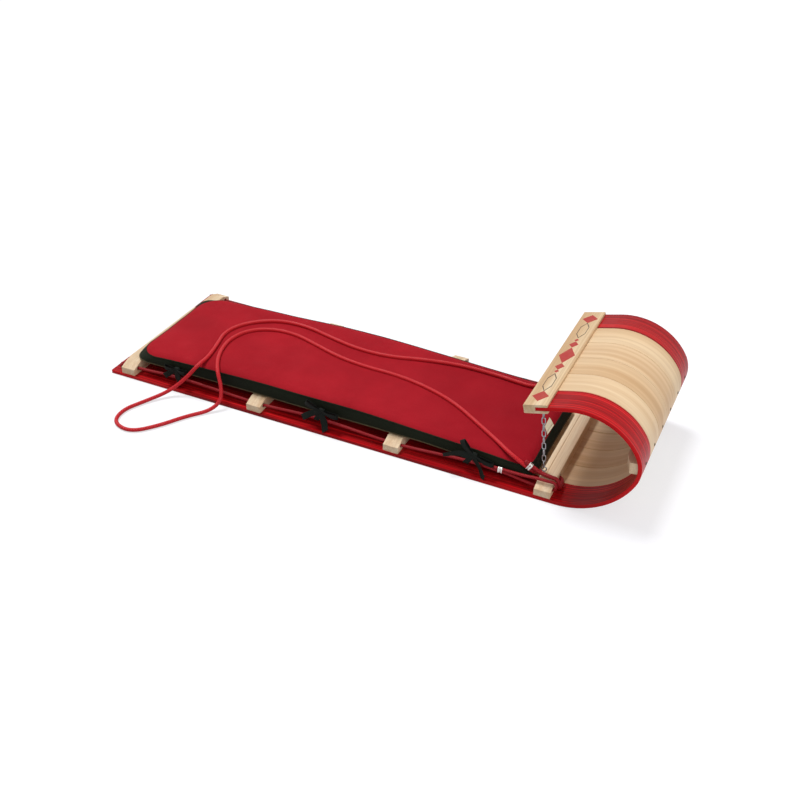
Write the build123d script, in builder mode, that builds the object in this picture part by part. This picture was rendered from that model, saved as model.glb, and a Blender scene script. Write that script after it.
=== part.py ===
from build123d import *
import os
from math import cos, radians, sin, tan

# A four-foot bentwood toboggan with a tied-on cushion, two hand ropes and a tow rope.
# Millimetres. The origin is on the ground under the middle of the sled, +X runs towards the curl,
# +Y to the rider's left and +Z up.

# Overall sizes
overall_length = 1219.0
deck_width = 406.0

# Slats
slat_count = 6
slat_gap = 1.0
slat_thickness = 8.0
slat_edge = 0.8
sweep_radius = 166.0
sweep_angle = 65.7
nose_radius = 76.5
nose_angle = 57.2
crown_radius = 135.0
curl_overturn = 14.5
curl_tail = 35.3

# Header bar that gathers the slat ends
header_depth = 48.0
header_thickness = 18.4
header_groove_depth = 25.0
header_edge = 1.5
seat_clearance = 0.1

# Crosspieces on the deck and the batten inside the curl
crosspiece_count = 4
crosspiece_first = 45.4
crosspiece_front_setback = 8.7
crosspiece_width = 34.0
crosspiece_set_in = 2.7
crosspiece_height = 25.0
crosspiece_bevel_length = 26.0
crosspiece_bevel_drop = 10.0
crosspiece_edge = 1.5
groove_width = 1.6
groove_setback = 10.5
batten_angle = 6.0
batten_height = 24.0
batten_thickness = 26.0

# Ropes
hand_rope_diameter = 6.5
hand_rope_inset = 19.0
hand_rope_height = 12.0
hand_rope_lift = 5.0
hand_rope_pull = 3.0
hand_rope_bend = 200.0
hand_rope_hole = 10.0
hand_eye_reach = 73.7
hand_eye_drop = 31.0
knot_diameter = 15.0
knot_length = 14.0
tow_rope_diameter = 8.5
tow_rope_hole = 12.8
tow_eye_bend = 7.5
tow_eye_lap = 2.0
tow_mouth_gap = 9.5
tow_hole_inset = 67.0
tow_wrap_inset = 40.0
rope_clearance = 0.3
rope_rest = 0.8
rope_tail = 8.0
rope_lead = 10.0

# Crimped ferrules
ferrule_length = 11.0
ferrule_wall = 1.2
ferrule_dimple_depth = 0.8
ferrule_dimple_width = 3.0

# Stay chains and their screw eyes
chain_inset = 51.0
chain_link_count = 10
chain_wire = 2.4
chain_link_width = 9.6
chain_clearance = 0.35
chain_eye_setback = 3.6
eye_wire = 2.6
eye_radius = 5.0
eye_neck = 1.0
eye_shank = 11.0
header_eye_depth = 27.0
wire_sides = 8
bend_steps = 6

# Cushion
cushion_thickness = 38.4
cushion_front_gap = 15.5
cushion_rear_setback = 2.6
cushion_inset_right = 26.0
cushion_inset_left = 74.0
cushion_corner = 48.0
cushion_droop = 13.0
cushion_droop_bend = 1500.0
cushion_droop_lead = 40.0
cushion_edge = 6.0

# Ties: tape sizes, and the places of the rear two along the cushion as shares of its length.
# The front one stands off the hand rope's ferrule
tie_width = 14.0
tie_thickness = 1.6
tie_places = {"right": (0.128, 0.4985), "left": (0.154, 0.4985)}
tie_ferrule_gap = 66.0
tie_knot_length = 15.0
tie_knot_depth = 7.0
tie_knot_height = 12.0
tie_knot_rise = 12.0
tie_gap = 0.4
tie_lean = 21.0
tie_strap_slack = 1.0
# Bow arms, from the rearmost tie forward: direction in degrees from +X, length in tape widths, plies of tape
tie_loops = (
    ((160.0, 3.3, 3), (48.0, 1.9, 3)),
    ((160.0, 3.3, 3), (24.0, 3.0, 3)),
    ((160.0, 3.3, 3), (24.0, 3.0, 3)),
)
tie_tails = (
    ((-78.0, 2.4, 1), (222.0, 3.3, 1)),
    ((-31.0, 4.2, 1), (222.0, 3.2, 1)),
    ((-24.0, 3.5, 1), (216.0, 2.9, 1)),
)

# Places that follow from the sizes
rear_x = -overall_length / 2
bend_x = overall_length / 2 - nose_radius - (sweep_radius - nose_radius) * sin(radians(sweep_angle))
slat_pitch = deck_width / slat_count
slat_width = slat_pitch - slat_gap
deck_top = slat_thickness
half_width = deck_width / 2
crosspiece_rear_x = rear_x + crosspiece_first
front_x = bend_x - crosspiece_width / 2 - crosspiece_front_setback
crosspiece_pitch = (front_x - crosspiece_rear_x) / (crosspiece_count - 1)
crosspiece_x = [crosspiece_rear_x + crosspiece_pitch * i for i in range(crosspiece_count - 1)] + [front_x]
crosspiece_top = deck_top + crosspiece_height
front_rear_face = front_x - crosspiece_width / 2
front_front_face = front_x + crosspiece_width / 2
hand_rope_y = half_width - hand_rope_inset
hand_rope_z = deck_top + hand_rope_height
tow_hole_y = half_width - tow_hole_inset
tow_wrap_y = half_width - tow_wrap_inset
chain_y = half_width - chain_inset
cushion_front_x = front_rear_face - cushion_front_gap
cushion_rear_x = crosspiece_rear_x + cushion_rear_setback
cushion_length = cushion_front_x - cushion_rear_x
cushion_edges = {"right": cushion_inset_right - half_width, "left": half_width - cushion_inset_left}
cushion_width = cushion_edges["left"] - cushion_edges["right"]
cushion_offset = (cushion_edges["left"] + cushion_edges["right"]) / 2
cushion_bottom = crosspiece_top + rope_clearance
cushion_top = cushion_bottom + cushion_thickness

# The curl is three tangent arcs: a wide sweep off the flat, a tight nose and a wide crown
sweep_turn = Vector(sin(radians(sweep_angle)), 0, -cos(radians(sweep_angle)))
crown_start = sweep_angle + nose_angle
crown_turn = Vector(sin(radians(crown_start)), 0, -cos(radians(crown_start)))
crown_angle = 180.0 + curl_overturn - crown_start
nose_centre = Vector(bend_x, 0, sweep_radius) + sweep_turn * (sweep_radius - nose_radius)
crown_centre = nose_centre + crown_turn * (nose_radius - crown_radius)

# The curl ends in a straight tail that points back and down
tail_angle = 180.0 + curl_overturn
tail_direction = Vector(cos(radians(tail_angle)), 0, sin(radians(tail_angle)))
tail_normal = Vector(sin(radians(tail_angle)), 0, -cos(radians(tail_angle)))
arc_end = crown_centre + tail_normal * crown_radius
header_front = arc_end + tail_direction * curl_tail

os.makedirs("parts", exist_ok=True)
sides = {"right": -1, "left": 1}


def save(piece, name):
    piece.part.label = name
    export_step(piece.part, f"parts/{name}.step")


# Each corner of a rope's route takes the largest arc that its two runs allow, up to a limit
def route_radii(points, largest=1.0e9):
    vectors = [Vector(*point) for point in points]
    runs = [after - before for before, after in zip(vectors, vectors[1:])]
    radii = []
    for into, out in zip(runs, runs[1:]):
        half_turn = radians(into.get_angle(out)) / 2
        radii.append(min(largest, 0.45 * min(into.length, out.length) / tan(half_turn)))
    return radii


# A rope along a route of straight runs and tangent arcs, added to the part in hand
def rope_tube(points, diameter, largest=1.0e9):
    with BuildLine():
        route = FilletPolyline(*points, radius=route_radii(points, largest))
    with BuildSketch(Plane(origin=route @ 0, z_dir=route % 0)) as section:
        Circle(diameter / 2)
    sweep(section.sketch, path=route)
    return route.length


# Slats: a flat run, the curl and the tail that enters the header's groove
slat_names = ["side_slat_right"]
slat_names += [f"deck_slat_{i}" for i in range(1, slat_count - 1)]
slat_names += ["side_slat_left"]
for index, name in enumerate(slat_names):
    slat_y = -half_width + slat_pitch * (index + 0.5)
    with BuildPart() as slat:
        with BuildSketch(Plane.XZ.offset(-slat_y)):
            with BuildLine():
                under = Line((rear_x, 0), (bend_x, 0))
                upper = Line((rear_x, deck_top), (bend_x, deck_top))
                tips = []
                for run, inset in ((under, 0.0), (upper, slat_thickness)):
                    bend = JernArc(run @ 1, run % 1, sweep_radius - inset, sweep_angle)
                    bend = JernArc(bend @ 1, bend % 1, nose_radius - inset, nose_angle)
                    bend = JernArc(bend @ 1, bend % 1, crown_radius - inset, crown_angle)
                    tail_length = curl_tail + header_groove_depth - seat_clearance
                    tail = Line(bend @ 1, bend @ 1 + (bend % 1) * tail_length)
                    tips.append(tail @ 1)
                Line(*tips)
                Line(upper @ 0, under @ 0)
            make_face()
        extrude(amount=slat_width / 2, both=True)
        long_edges = slat.faces().sort_by(Axis.Y)[0].edges() + slat.faces().sort_by(Axis.Y)[-1].edges()
        chamfer(long_edges, slat_edge)
    save(slat, name)

# Header bar: a grooved bar across the slat ends, square to their tails
lip = (header_thickness - slat_thickness) / 2
header_plane = Plane(origin=header_front, x_dir=tail_direction, z_dir=(0, 1, 0))
header_under = Plane(
    origin=header_front - tail_normal * (header_thickness - lip), x_dir=(0, 1, 0), z_dir=tail_normal
)
with BuildPart() as header:
    with BuildSketch(header_plane):
        with Locations((header_depth / 2, -slat_thickness / 2)):
            Rectangle(header_depth, header_thickness)
    extrude(amount=half_width, both=True)
    fillet(header.edges().filter_by(Axis.Y), header_edge)
    with BuildSketch(header_plane):
        with Locations((header_groove_depth / 2, -slat_thickness / 2)):
            Rectangle(header_groove_depth, slat_thickness + 2 * seat_clearance)
    extrude(amount=half_width, both=True, mode=Mode.SUBTRACT)
    with BuildSketch(header_under):
        with Locations((chain_y, header_eye_depth), (-chain_y, header_eye_depth)):
            Circle(eye_wire / 2 + seat_clearance)
    extrude(amount=eye_shank + seat_clearance, mode=Mode.SUBTRACT)
save(header, "header_bar")


# A bar with bevelled ends: y along the plane's x, height along its y, width across the plane
def bevelled_bar(plane, height, width):
    half_length = half_width - crosspiece_set_in
    with BuildSketch(plane) as profile:
        with BuildLine():
            Polyline(
                (-half_length, 0),
                (half_length, 0),
                (half_length, height - crosspiece_bevel_drop),
                (half_length - crosspiece_bevel_length, height),
                (crosspiece_bevel_length - half_length, height),
                (-half_length, height - crosspiece_bevel_drop),
                close=True,
            )
        make_face()
    extrude(profile.sketch, amount=width / 2, both=True)


# Crosspieces: the hand rope passes through all of them, the front one also takes the tow rope and chains
crosspiece_names = ["crosspiece_rear", "crosspiece_mid_rear", "crosspiece_mid_front", "crosspiece_front"]
for name, bar_x in zip(crosspiece_names, crosspiece_x):
    is_front = bar_x == front_x
    with BuildPart() as bar:
        bar_plane = Plane(origin=(bar_x, 0, deck_top), x_dir=(0, 1, 0), z_dir=(1, 0, 0))
        bevelled_bar(bar_plane, crosspiece_height, crosspiece_width)
        top_edges = bar.faces().sort_by(Axis.Z)[-1].edges().filter_by(Axis.Y)
        fillet(top_edges, crosspiece_edge)
        with BuildSketch(Plane.YZ.offset(bar_x)):
            with Locations((-hand_rope_y, hand_rope_z), (hand_rope_y, hand_rope_z)):
                Circle(hand_rope_hole / 2)
            if is_front:
                with Locations((-tow_hole_y, hand_rope_z), (tow_hole_y, hand_rope_z)):
                    Circle(tow_rope_hole / 2)
        extrude(amount=crosspiece_width, both=True, mode=Mode.SUBTRACT)
        if is_front:
            with BuildSketch(Plane.XY.offset(crosspiece_top)):
                with Locations((front_rear_face + groove_setback, 0)):
                    Rectangle(groove_width, deck_width)
            extrude(amount=-groove_width, mode=Mode.SUBTRACT)
            with BuildSketch(Plane.XY.offset(crosspiece_top)):
                eye_x = front_rear_face + chain_eye_setback
                with Locations((eye_x, -chain_y), (eye_x, chain_y)):
                    Circle(eye_wire / 2 + seat_clearance)
            extrude(amount=-eye_shank - seat_clearance, mode=Mode.SUBTRACT)
    save(bar, name)

# Batten inside the front of the curl: its back follows the slats' inner face
batten_out = Vector(cos(radians(batten_angle)), 0, sin(radians(batten_angle)))
batten_side = Vector(-sin(radians(batten_angle)), 0, cos(radians(batten_angle)))
with BuildPart() as batten:
    bevelled_bar(
        Plane(origin=nose_centre + batten_out * nose_radius, x_dir=(0, 1, 0), z_dir=batten_side),
        batten_thickness + slat_thickness,
        batten_height,
    )
    with BuildSketch(Plane(origin=nose_centre, x_dir=(1, 0, 0), z_dir=(0, 1, 0))):
        Circle(nose_radius - slat_thickness - seat_clearance)
    extrude(amount=deck_width, both=True, mode=Mode.INTERSECT)
save(batten, "curl_batten")

# Stay chains: the span between the two eyes sets the links' length
eye_rise = eye_neck + eye_wire / 2 + eye_radius
for side, sign in sides.items():
    upper_foot = header_front + tail_direction * header_eye_depth - tail_normal * (header_thickness - lip)
    upper_foot += Vector(0, sign * chain_y, 0)
    upper_eye = upper_foot - tail_normal * eye_rise
    lower_foot = Vector(front_rear_face + chain_eye_setback, sign * chain_y, crosspiece_top)
    lower_eye = lower_foot + Vector(0, 0, eye_rise)
    span = lower_eye - upper_eye
    along = span.normalized()
    across = along.cross(Vector(0, 1, 0)).normalized()
    hook = eye_wire / 2 + chain_wire / 2 + chain_clearance
    link_pitch = (span.length - 2 * eye_radius + 2 * hook - chain_wire - chain_clearance) / chain_link_count
    link_length = link_pitch + chain_clearance + chain_wire
    link_bend = (chain_link_width - chain_wire) / 2
    link_straight = link_length - 2 * link_bend

    # Every link is a closed ring of round wire, turned a quarter from the one above
    with BuildPart() as chain:
        for index in range(chain_link_count):
            middle = upper_eye + along * (eye_radius - hook + link_length / 2 + link_pitch * index)
            face = Vector(0, 1, 0) if index % 2 == 0 else across
            link_plane = Plane(origin=middle, x_dir=along, z_dir=face)
            bend_angles = [180.0 * step / bend_steps - 90.0 for step in range(bend_steps + 1)]
            ring = [(0.0, -link_bend)]
            for angle in bend_angles:
                ring.append((link_straight / 2 + link_bend * cos(radians(angle)), link_bend * sin(radians(angle))))
            for angle in bend_angles:
                ring.append((-link_straight / 2 - link_bend * cos(radians(angle)), -link_bend * sin(radians(angle))))
            with BuildLine(link_plane) as wire_path:
                Polyline(*ring, close=True)
            with BuildSketch(Plane(origin=wire_path.line @ 0, x_dir=face, z_dir=along)) as wire_section:
                RegularPolygon(chain_wire / 2, wire_sides)
            sweep(wire_section.sketch, path=wire_path.line, transition=Transition.RIGHT)
    save(chain, f"stay_chain_{side}")

    # Screw eyes: a ring of wire on a plain shank
    eyes = {
        "header_eye": (upper_foot, upper_eye, tail_normal, tail_direction),
        "crosspiece_eye": (lower_foot, lower_eye, Vector(0, 0, -1), Vector(0, 1, 0)),
    }
    for name, (foot, centre, inward, axis) in eyes.items():
        with BuildPart() as eye:
            neck_length = eye_neck + eye_wire / 2
            with BuildSketch(Plane(origin=foot - inward * neck_length, z_dir=inward)):
                Circle(eye_wire / 2)
            extrude(amount=neck_length + eye_shank)
            with BuildLine(Plane(origin=centre, x_dir=inward, z_dir=axis)) as ring_path:
                CenterArc((0, 0), eye_radius, 0, 360)
            with BuildSketch(Plane(origin=ring_path.line @ 0, z_dir=ring_path.line % 0)) as ring_section:
                Circle(eye_wire / 2)
            sweep(ring_section.sketch, path=ring_path.line)
        save(eye, f"{name}_{side}")
    print(side, "link pitch", link_pitch, "length", link_length, "straight", link_straight)


# A crimped ferrule over two strands, with a dimple pressed into each broad side
def crimped_ferrule(plane, rope_diameter):
    spread = rope_diameter + rope_clearance
    thickness = rope_diameter + 2 * ferrule_wall
    with BuildSketch(plane) as outline:
        SlotCenterToCenter(spread, thickness)
    extrude(outline.sketch, amount=ferrule_length)
    across_plane = Plane(origin=plane.origin + plane.z_dir * (ferrule_length / 2), x_dir=plane.x_dir, z_dir=plane.z_dir)
    with BuildSketch(across_plane) as dimples:
        for level in (-thickness / 2, thickness / 2):
            with Locations((0, level)):
                Rectangle(spread, 2 * ferrule_dimple_depth)
    extrude(dimples.sketch, amount=ferrule_dimple_width / 2, both=True, mode=Mode.SUBTRACT)


hand_spread = hand_rope_diameter + rope_clearance
tow_spread = tow_rope_diameter + rope_clearance
hand_ferrule_x = front_rear_face - hand_eye_reach
hand_top_z = crosspiece_top + hand_rope_diameter / 2 + rope_clearance
hand_front_x = front_front_face + hand_rope_diameter / 2 + rope_clearance
tie_rope_z = hand_rope_z + hand_rope_lift
knot_face_x = crosspiece_x[0] - crosspiece_width / 2 - rope_clearance
tie_front_x = hand_ferrule_x - ferrule_length - tie_ferrule_gap
tie_xs = {}
for side in sides:
    tie_xs[side] = [cushion_rear_x + cushion_length * share for share in tie_places[side]] + [tie_front_x]
droop_start = crosspiece_x[-2] + crosspiece_width / 2 + cushion_droop_lead
droop_slope = cushion_droop / (cushion_front_x - droop_start)


# The cushion hangs a little beyond the last crosspiece under it
def droop_at(x):
    return droop_slope * max(0.0, x - droop_start)


# Hand ropes: knotted behind the rear crosspiece, threaded forward, looped round the front one
tie_rope_y = {}
for side, sign in sides.items():
    rope_y = sign * hand_rope_y
    reach = cushion_edges[side] - rope_y
    tie_rope_y[side] = rope_y + max(-hand_rope_pull, min(hand_rope_pull, reach))
    rope_points = [(knot_face_x, rope_y, hand_rope_z)]
    for tie_x, bar_x in zip(tie_xs[side], crosspiece_x[1:]):
        rope_points.append((tie_x, tie_rope_y[side], tie_rope_z))
        if bar_x != front_x:
            rope_points.append((bar_x, rope_y, hand_rope_z))
    rope_points.append((hand_ferrule_x - ferrule_length - rope_lead, rope_y, hand_rope_z))
    rope_points.append((hand_ferrule_x - ferrule_length, rope_y, hand_rope_z))
    with BuildPart() as hand_rope:
        rope_tube(rope_points, hand_rope_diameter, hand_rope_bend)
    save(hand_rope, f"hand_rope_{side}")

    with BuildPart() as knot:
        with BuildSketch(Plane.YZ.offset(knot_face_x - rope_clearance)):
            with Locations((rope_y, hand_rope_z)):
                Circle(knot_diameter / 2)
        extrude(amount=-knot_length)
        fillet(knot.edges(), knot_length / 3)
        with BuildSketch(Plane.YZ.offset(knot_face_x - knot_length / 2)):
            with Locations((rope_y, hand_rope_z)):
                Circle(hand_rope_diameter / 2)
        extrude(amount=-knot_length / 2 - rope_tail)
    save(knot, f"hand_rope_knot_{side}")

    ferrule_plane = Plane(
        origin=(hand_ferrule_x - ferrule_length, rope_y, hand_rope_z + hand_spread / 2),
        x_dir=(0, 0, 1),
        z_dir=(1, 0, 0),
    )
    with BuildPart() as ferrule:
        crimped_ferrule(ferrule_plane, hand_rope_diameter)
    save(ferrule, f"hand_ferrule_{side}")

    eye_points = [
        (hand_ferrule_x, rope_y, hand_rope_z),
        (hand_front_x, rope_y, hand_rope_z),
        (hand_front_x, rope_y, hand_top_z),
        (front_rear_face - hand_rope_diameter, rope_y, hand_top_z),
        (front_rear_face - hand_eye_drop, rope_y, hand_rope_z + hand_spread),
        (hand_ferrule_x, rope_y, hand_rope_z + hand_spread),
    ]
    tail_start = (hand_ferrule_x - ferrule_length, rope_y, hand_rope_z + hand_spread)
    with BuildPart() as hand_eye:
        rope_tube(eye_points, hand_rope_diameter)
        with BuildSketch(Plane(origin=tail_start, z_dir=(-1, 0, 0))):
            Circle(hand_rope_diameter / 2)
        extrude(amount=rope_tail)
    save(hand_eye, f"hand_rope_eye_{side}")

# Cushion: a thick slab with rounded corners, drooping at the front
with BuildPart() as cushion:
    with BuildSketch(Plane.XZ.offset(-cushion_offset)):
        with BuildLine():
            lower = FilletPolyline(
                (cushion_rear_x, cushion_bottom),
                (droop_start, cushion_bottom),
                (cushion_front_x, cushion_bottom - cushion_droop),
                radius=cushion_droop_bend,
            )
            upper = FilletPolyline(
                (cushion_rear_x, cushion_top),
                (droop_start, cushion_top),
                (cushion_front_x, cushion_top - cushion_droop),
                radius=cushion_droop_bend,
            )
            Line(lower @ 0, upper @ 0)
            Line(lower @ 1, upper @ 1)
        make_face()
    extrude(amount=cushion_width / 2, both=True)
    with BuildSketch():
        with Locations((cushion_front_x - cushion_length / 2, cushion_offset)):
            RectangleRounded(cushion_length, cushion_width, cushion_corner)
    extrude(amount=2 * cushion_top, mode=Mode.INTERSECT)
    upright = cushion.faces().filter_by(lambda face: abs(face.normal_at().Z) < 0.5)
    rims = [edge for edge in upright.edges() if abs((edge % 0.5).Z) < 0.5]
    fillet(rims, cushion_edge)
save(cushion, "cushion")

# Ties: a strap round the hand rope, a knot on the cushion's side and a bow
for side, sign in sides.items():
    edge = cushion_edges[side]
    knot_y = edge + sign * (tie_gap + tie_knot_depth / 2)
    wrap = hand_rope_diameter / 2 + tie_thickness / 2 + tie_strap_slack
    rope_at = tie_rope_y[side]
    outer = rope_at + sign * wrap
    inner = rope_at - sign * wrap
    beneath = tie_rope_z - wrap
    under_edge = abs(edge) > abs(rope_at) - wrap
    for index, tie_x in enumerate(tie_xs[side]):
        bottom_here = cushion_bottom - droop_at(tie_x)
        knot_z = bottom_here + tie_knot_rise
        knot_at = Vector(knot_y, knot_z)
        rope_here = Vector(rope_at, tie_rope_z)
        reach = (rope_here - knot_at).normalized()
        aside = Vector(-reach.Y, reach.X)
        strap_points = [
            knot_at + aside * (tie_knot_height / 4),
            rope_here + (aside + reach) * wrap,
            rope_here + (reach - aside) * wrap,
            knot_at - aside * (tie_knot_height / 4),
        ]
        if under_edge:
            strap_points = [
                (inner, bottom_here - tie_thickness),
                (inner, beneath),
                (outer, beneath),
                (outer, tie_rope_z + wrap),
                (knot_y, knot_z),
            ]
        with BuildPart() as tie:
            with BuildSketch(Plane(origin=(tie_x, 0, 0), x_dir=(0, 1, 0), z_dir=(1, 0, 0))):
                with BuildLine():
                    FilletPolyline(*strap_points, radius=wrap * 0.8)
                trace(line_width=tie_thickness)
            extrude(amount=tie_width / 2, both=True)
            with Locations((tie_x, knot_y, knot_z)):
                Box(tie_knot_length, tie_knot_depth, tie_knot_height)
            loop_plane = Plane(origin=(tie_x, knot_y, knot_z), x_dir=(1, 0, 0), z_dir=(0, -1, 0))
            tail_plane = Plane(
                origin=(tie_x, knot_y, knot_z),
                x_dir=(1, 0, 0),
                z_dir=(0, -cos(radians(tie_lean)), -sign * sin(radians(tie_lean))),
            )
            for plane, arms in ((loop_plane, tie_loops[index]), (tail_plane, tie_tails[index])):
                for angle, widths, plies in arms:
                    length = widths * tie_width
                    with BuildSketch(plane):
                        with Locations(Rotation(0, 0, angle)):
                            with Locations((length / 2, 0)):
                                Rectangle(length, tie_width)
                    extrude(amount=plies * tie_thickness / 2, both=True)
        save(tie, f"tie_{side}_{index + 1}")

# Tow rope: its route over the cushion and the ground, from the right ferrule to the left one.
# Columns: share of the cushion's length from its rear end, share of half its width from its middle,
# and what the rope lies on, or its height as a share of the cushion top's
on_ground = tow_rope_diameter / 2 + rope_clearance
tow_route = (
    (0.9874, -0.9902, 0.690),
    (0.9529, -1.0066, 0.962),
    (0.9089, -0.7967, "cushion"),
    (0.8586, -0.5934, "cushion"),
    (0.7759, -0.2590, "cushion"),
    (0.6932, -0.0754, "cushion"),
    (0.6115, 0.0164, "cushion"),
    (0.5309, 0.0098, "cushion"),
    (0.4565, 0.0754, "cushion"),
    (0.3885, 0.2197, "cushion"),
    (0.3183, 0.3639, "cushion"),
    (0.2576, 0.3443, "cushion"),
    (0.2073, 0.1475, "cushion"),
    (0.1885, -0.2066, "cushion"),
    (0.1969, -0.5344, "cushion"),
    (0.2136, -0.8098, "cushion"),
    (0.2387, -1.0656, 1.095),
    (0.2565, -1.1508, 0.642),
    (0.2628, -1.2426, 0.279),
    (0.2471, -1.4131, "ground"),
    (0.2115, -1.6754, "ground"),
    (0.1780, -2.0426, "ground"),
    (0.1340, -2.3574, "ground"),
    (0.0796, -2.2656, "ground"),
    (0.0691, -1.9508, "ground"),
    (0.0921, -1.6361, "ground"),
    (0.1215, -1.3475, 0.139),
    (0.1435, -1.1902, 0.363),
    (0.1675, -1.1115, 0.725),
    (0.1843, -1.0656, 1.095),
    (0.1874, -0.7967, "cushion"),
    (0.1770, -0.4689, "cushion"),
    (0.1592, -0.0361, "cushion"),
    (0.1864, 0.3443, "cushion"),
    (0.2492, 0.6197, "cushion"),
    (0.3267, 0.6459, "cushion"),
    (0.4042, 0.5082, "cushion"),
    (0.4838, 0.4033, "cushion"),
    (0.5634, 0.4164, "cushion"),
    (0.6429, 0.5803, "cushion"),
    (0.7267, 0.6852, "cushion"),
    (0.8042, 0.7115, "cushion"),
    (0.8733, 0.7115, "cushion"),
    (0.9173, 0.8426, "cushion"),
    (0.9403, 1.1049, 0.962),
    (0.9581, 1.3279, 0.893),
    (0.9874, 1.3115, 0.690),
)


# The rope's middle height on what it lies on
def rope_height(x, rest):
    if rest == "cushion":
        return cushion_top - droop_at(x) + tow_rope_diameter / 2 + rope_rest
    if rest == "ground":
        return on_ground
    return rest * cushion_top


tow_points = []
for length_share, width_share, rest in tow_route:
    point_x = cushion_rear_x + length_share * cushion_length
    point_y = cushion_offset + width_share * cushion_width / 2
    tow_points.append((point_x, point_y, rope_height(point_x, rest)))
with BuildPart() as tow_rope:
    tow_length = rope_tube(tow_points, tow_rope_diameter)
save(tow_rope, "tow_rope")
tow_section = 3.14159265 * tow_rope_diameter**2 / 4
print("tow rope length", tow_length, "volume", tow_rope.part.volume, "section x length", tow_length * tow_section)
for point, radius in zip(tow_points[1:], route_radii(tow_points)):
    print("tow corner", tuple(round(value, 1) for value in point), "radius", round(radius, 1))

# Tow rope ends: a ferrule and an eye through and over the front crosspiece
tow_front_x = front_front_face + tow_rope_diameter / 2 + rope_clearance
tow_top_z = crosspiece_top + tow_rope_diameter / 2 + rope_clearance
tow_ends = {"right": (tow_points[0], tow_points[1]), "left": (tow_points[-1], tow_points[-2])}
for side, (end, before) in tow_ends.items():
    sign = sides[side]
    end = Vector(*end)
    forward = (end - Vector(*before)).normalized()
    upward = forward.cross(Vector(0, 0, 1).cross(forward)).normalized()
    with BuildPart() as ferrule:
        crimped_ferrule(Plane(origin=end + upward * (tow_spread / 2), x_dir=upward, z_dir=forward), tow_rope_diameter)
    save(ferrule, f"tow_ferrule_{side}")

    low_start = end + forward * ferrule_length
    high_start = low_start + upward * tow_spread
    mouth_x = front_rear_face - tow_mouth_gap
    eye_points = [
        tuple(low_start),
        tuple(low_start + forward * rope_lead),
        (mouth_x, sign * tow_hole_y, hand_rope_z),
        (tow_front_x, sign * tow_hole_y, hand_rope_z),
        (tow_front_x, sign * tow_wrap_y, tow_top_z),
        (front_rear_face + tow_eye_lap, sign * (tow_wrap_y + tow_eye_lap), tow_top_z),
        tuple(high_start + forward * rope_lead),
        tuple(high_start),
    ]
    with BuildPart() as tow_eye:
        rope_tube(eye_points, tow_rope_diameter, tow_eye_bend)
        with BuildSketch(Plane(origin=end + upward * tow_spread, z_dir=forward * -1)):
            Circle(tow_rope_diameter / 2)
        extrude(amount=rope_tail)
    save(tow_eye, f"tow_rope_eye_{side}")
    print(side, "eye radii", [round(radius, 1) for radius in route_radii(eye_points, tow_eye_bend)])
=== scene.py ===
import bpy
import numpy as np
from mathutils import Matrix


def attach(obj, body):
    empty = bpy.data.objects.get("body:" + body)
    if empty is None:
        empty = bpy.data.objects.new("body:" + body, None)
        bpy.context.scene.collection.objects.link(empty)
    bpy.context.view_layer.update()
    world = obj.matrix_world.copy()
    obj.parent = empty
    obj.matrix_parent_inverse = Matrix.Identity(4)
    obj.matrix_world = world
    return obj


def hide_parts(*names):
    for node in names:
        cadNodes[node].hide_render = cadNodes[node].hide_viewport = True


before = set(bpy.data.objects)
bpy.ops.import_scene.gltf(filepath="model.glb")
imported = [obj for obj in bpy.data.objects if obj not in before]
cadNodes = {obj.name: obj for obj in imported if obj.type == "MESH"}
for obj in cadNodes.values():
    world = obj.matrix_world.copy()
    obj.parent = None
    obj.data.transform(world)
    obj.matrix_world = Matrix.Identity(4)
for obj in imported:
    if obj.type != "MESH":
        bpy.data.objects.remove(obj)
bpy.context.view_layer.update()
scene = bpy.context.scene
scene.view_settings.view_transform = "Standard"
mm = 0.001
fullTurn = 2 * np.pi
bothSides = {"right": -1.0, "left": 1.0}
print("frame loaded,", len(cadNodes), "nodes")

# camera: stands off the sled's right side, towards its front, and looks down on the deck
shot = {"place": (0.83047, -1.85107, 1.33976), "turn": (56.3733, -1.7097, 24.6050),
        "lens": 48.478, "sensor": 36}
cameraData = bpy.data.cameras.new("photoCamera")
cameraData.lens = shot["lens"]
cameraData.sensor_width = shot["sensor"]
photoCamera = bpy.data.objects.new("photoCamera", cameraData)
photoCamera.location = shot["place"]
photoCamera.rotation_euler = np.radians(shot["turn"])
scene.collection.objects.link(photoCamera)
scene.camera = photoCamera


def unit(v):
    # each row divided by its own length
    v = np.asarray(v, float)
    return v / np.linalg.norm(v, axis=-1, keepdims=True)


def roundSteps(count):
    # evenly spaced angles once round a circle
    return np.linspace(0, fullTurn, count, endpoint=False)


def runLength(path):
    # distance gone along a path at each of its points
    return np.r_[0, np.cumsum(np.linalg.norm(np.diff(path, axis=0), axis=1))]


def gridQuads(rows, cols, wrapRows=False, wrapCols=True, first=0):
    # quads that join every grid point to the next column and the next row
    r = np.arange(rows if wrapRows else rows - 1)[:, None]
    c = np.arange(cols if wrapCols else cols - 1)[None, :]
    rn, cn = (r + 1) % rows, (c + 1) % cols
    corners = [r * cols + c, r * cols + cn, rn * cols + cn, rn * cols + c]
    return first + np.stack(np.broadcast_arrays(*corners), -1).reshape(-1, 4)


def gridEdge(rows, cols):
    # point numbers once round the rim of an open grid
    return np.concatenate([
        np.arange(rows - 1) * cols, (rows - 1) * cols + np.arange(cols - 1),
        np.arange(rows - 1, 0, -1) * cols + cols - 1, np.arange(cols - 1, 0, -1)])


def joinGrids(parts):
    # several grids in one mesh: point numbers of each follow on from the last
    starts = np.cumsum([0] + [len(p[0]) for p in parts[:-1]])
    points = np.concatenate([p[0] for p in parts])
    quads = np.concatenate([p[1] + s for p, s in zip(parts, starts)])
    uv = np.concatenate([p[2] for p in parts]) if len(parts[0]) > 2 else None
    return points, quads, uv


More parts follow.
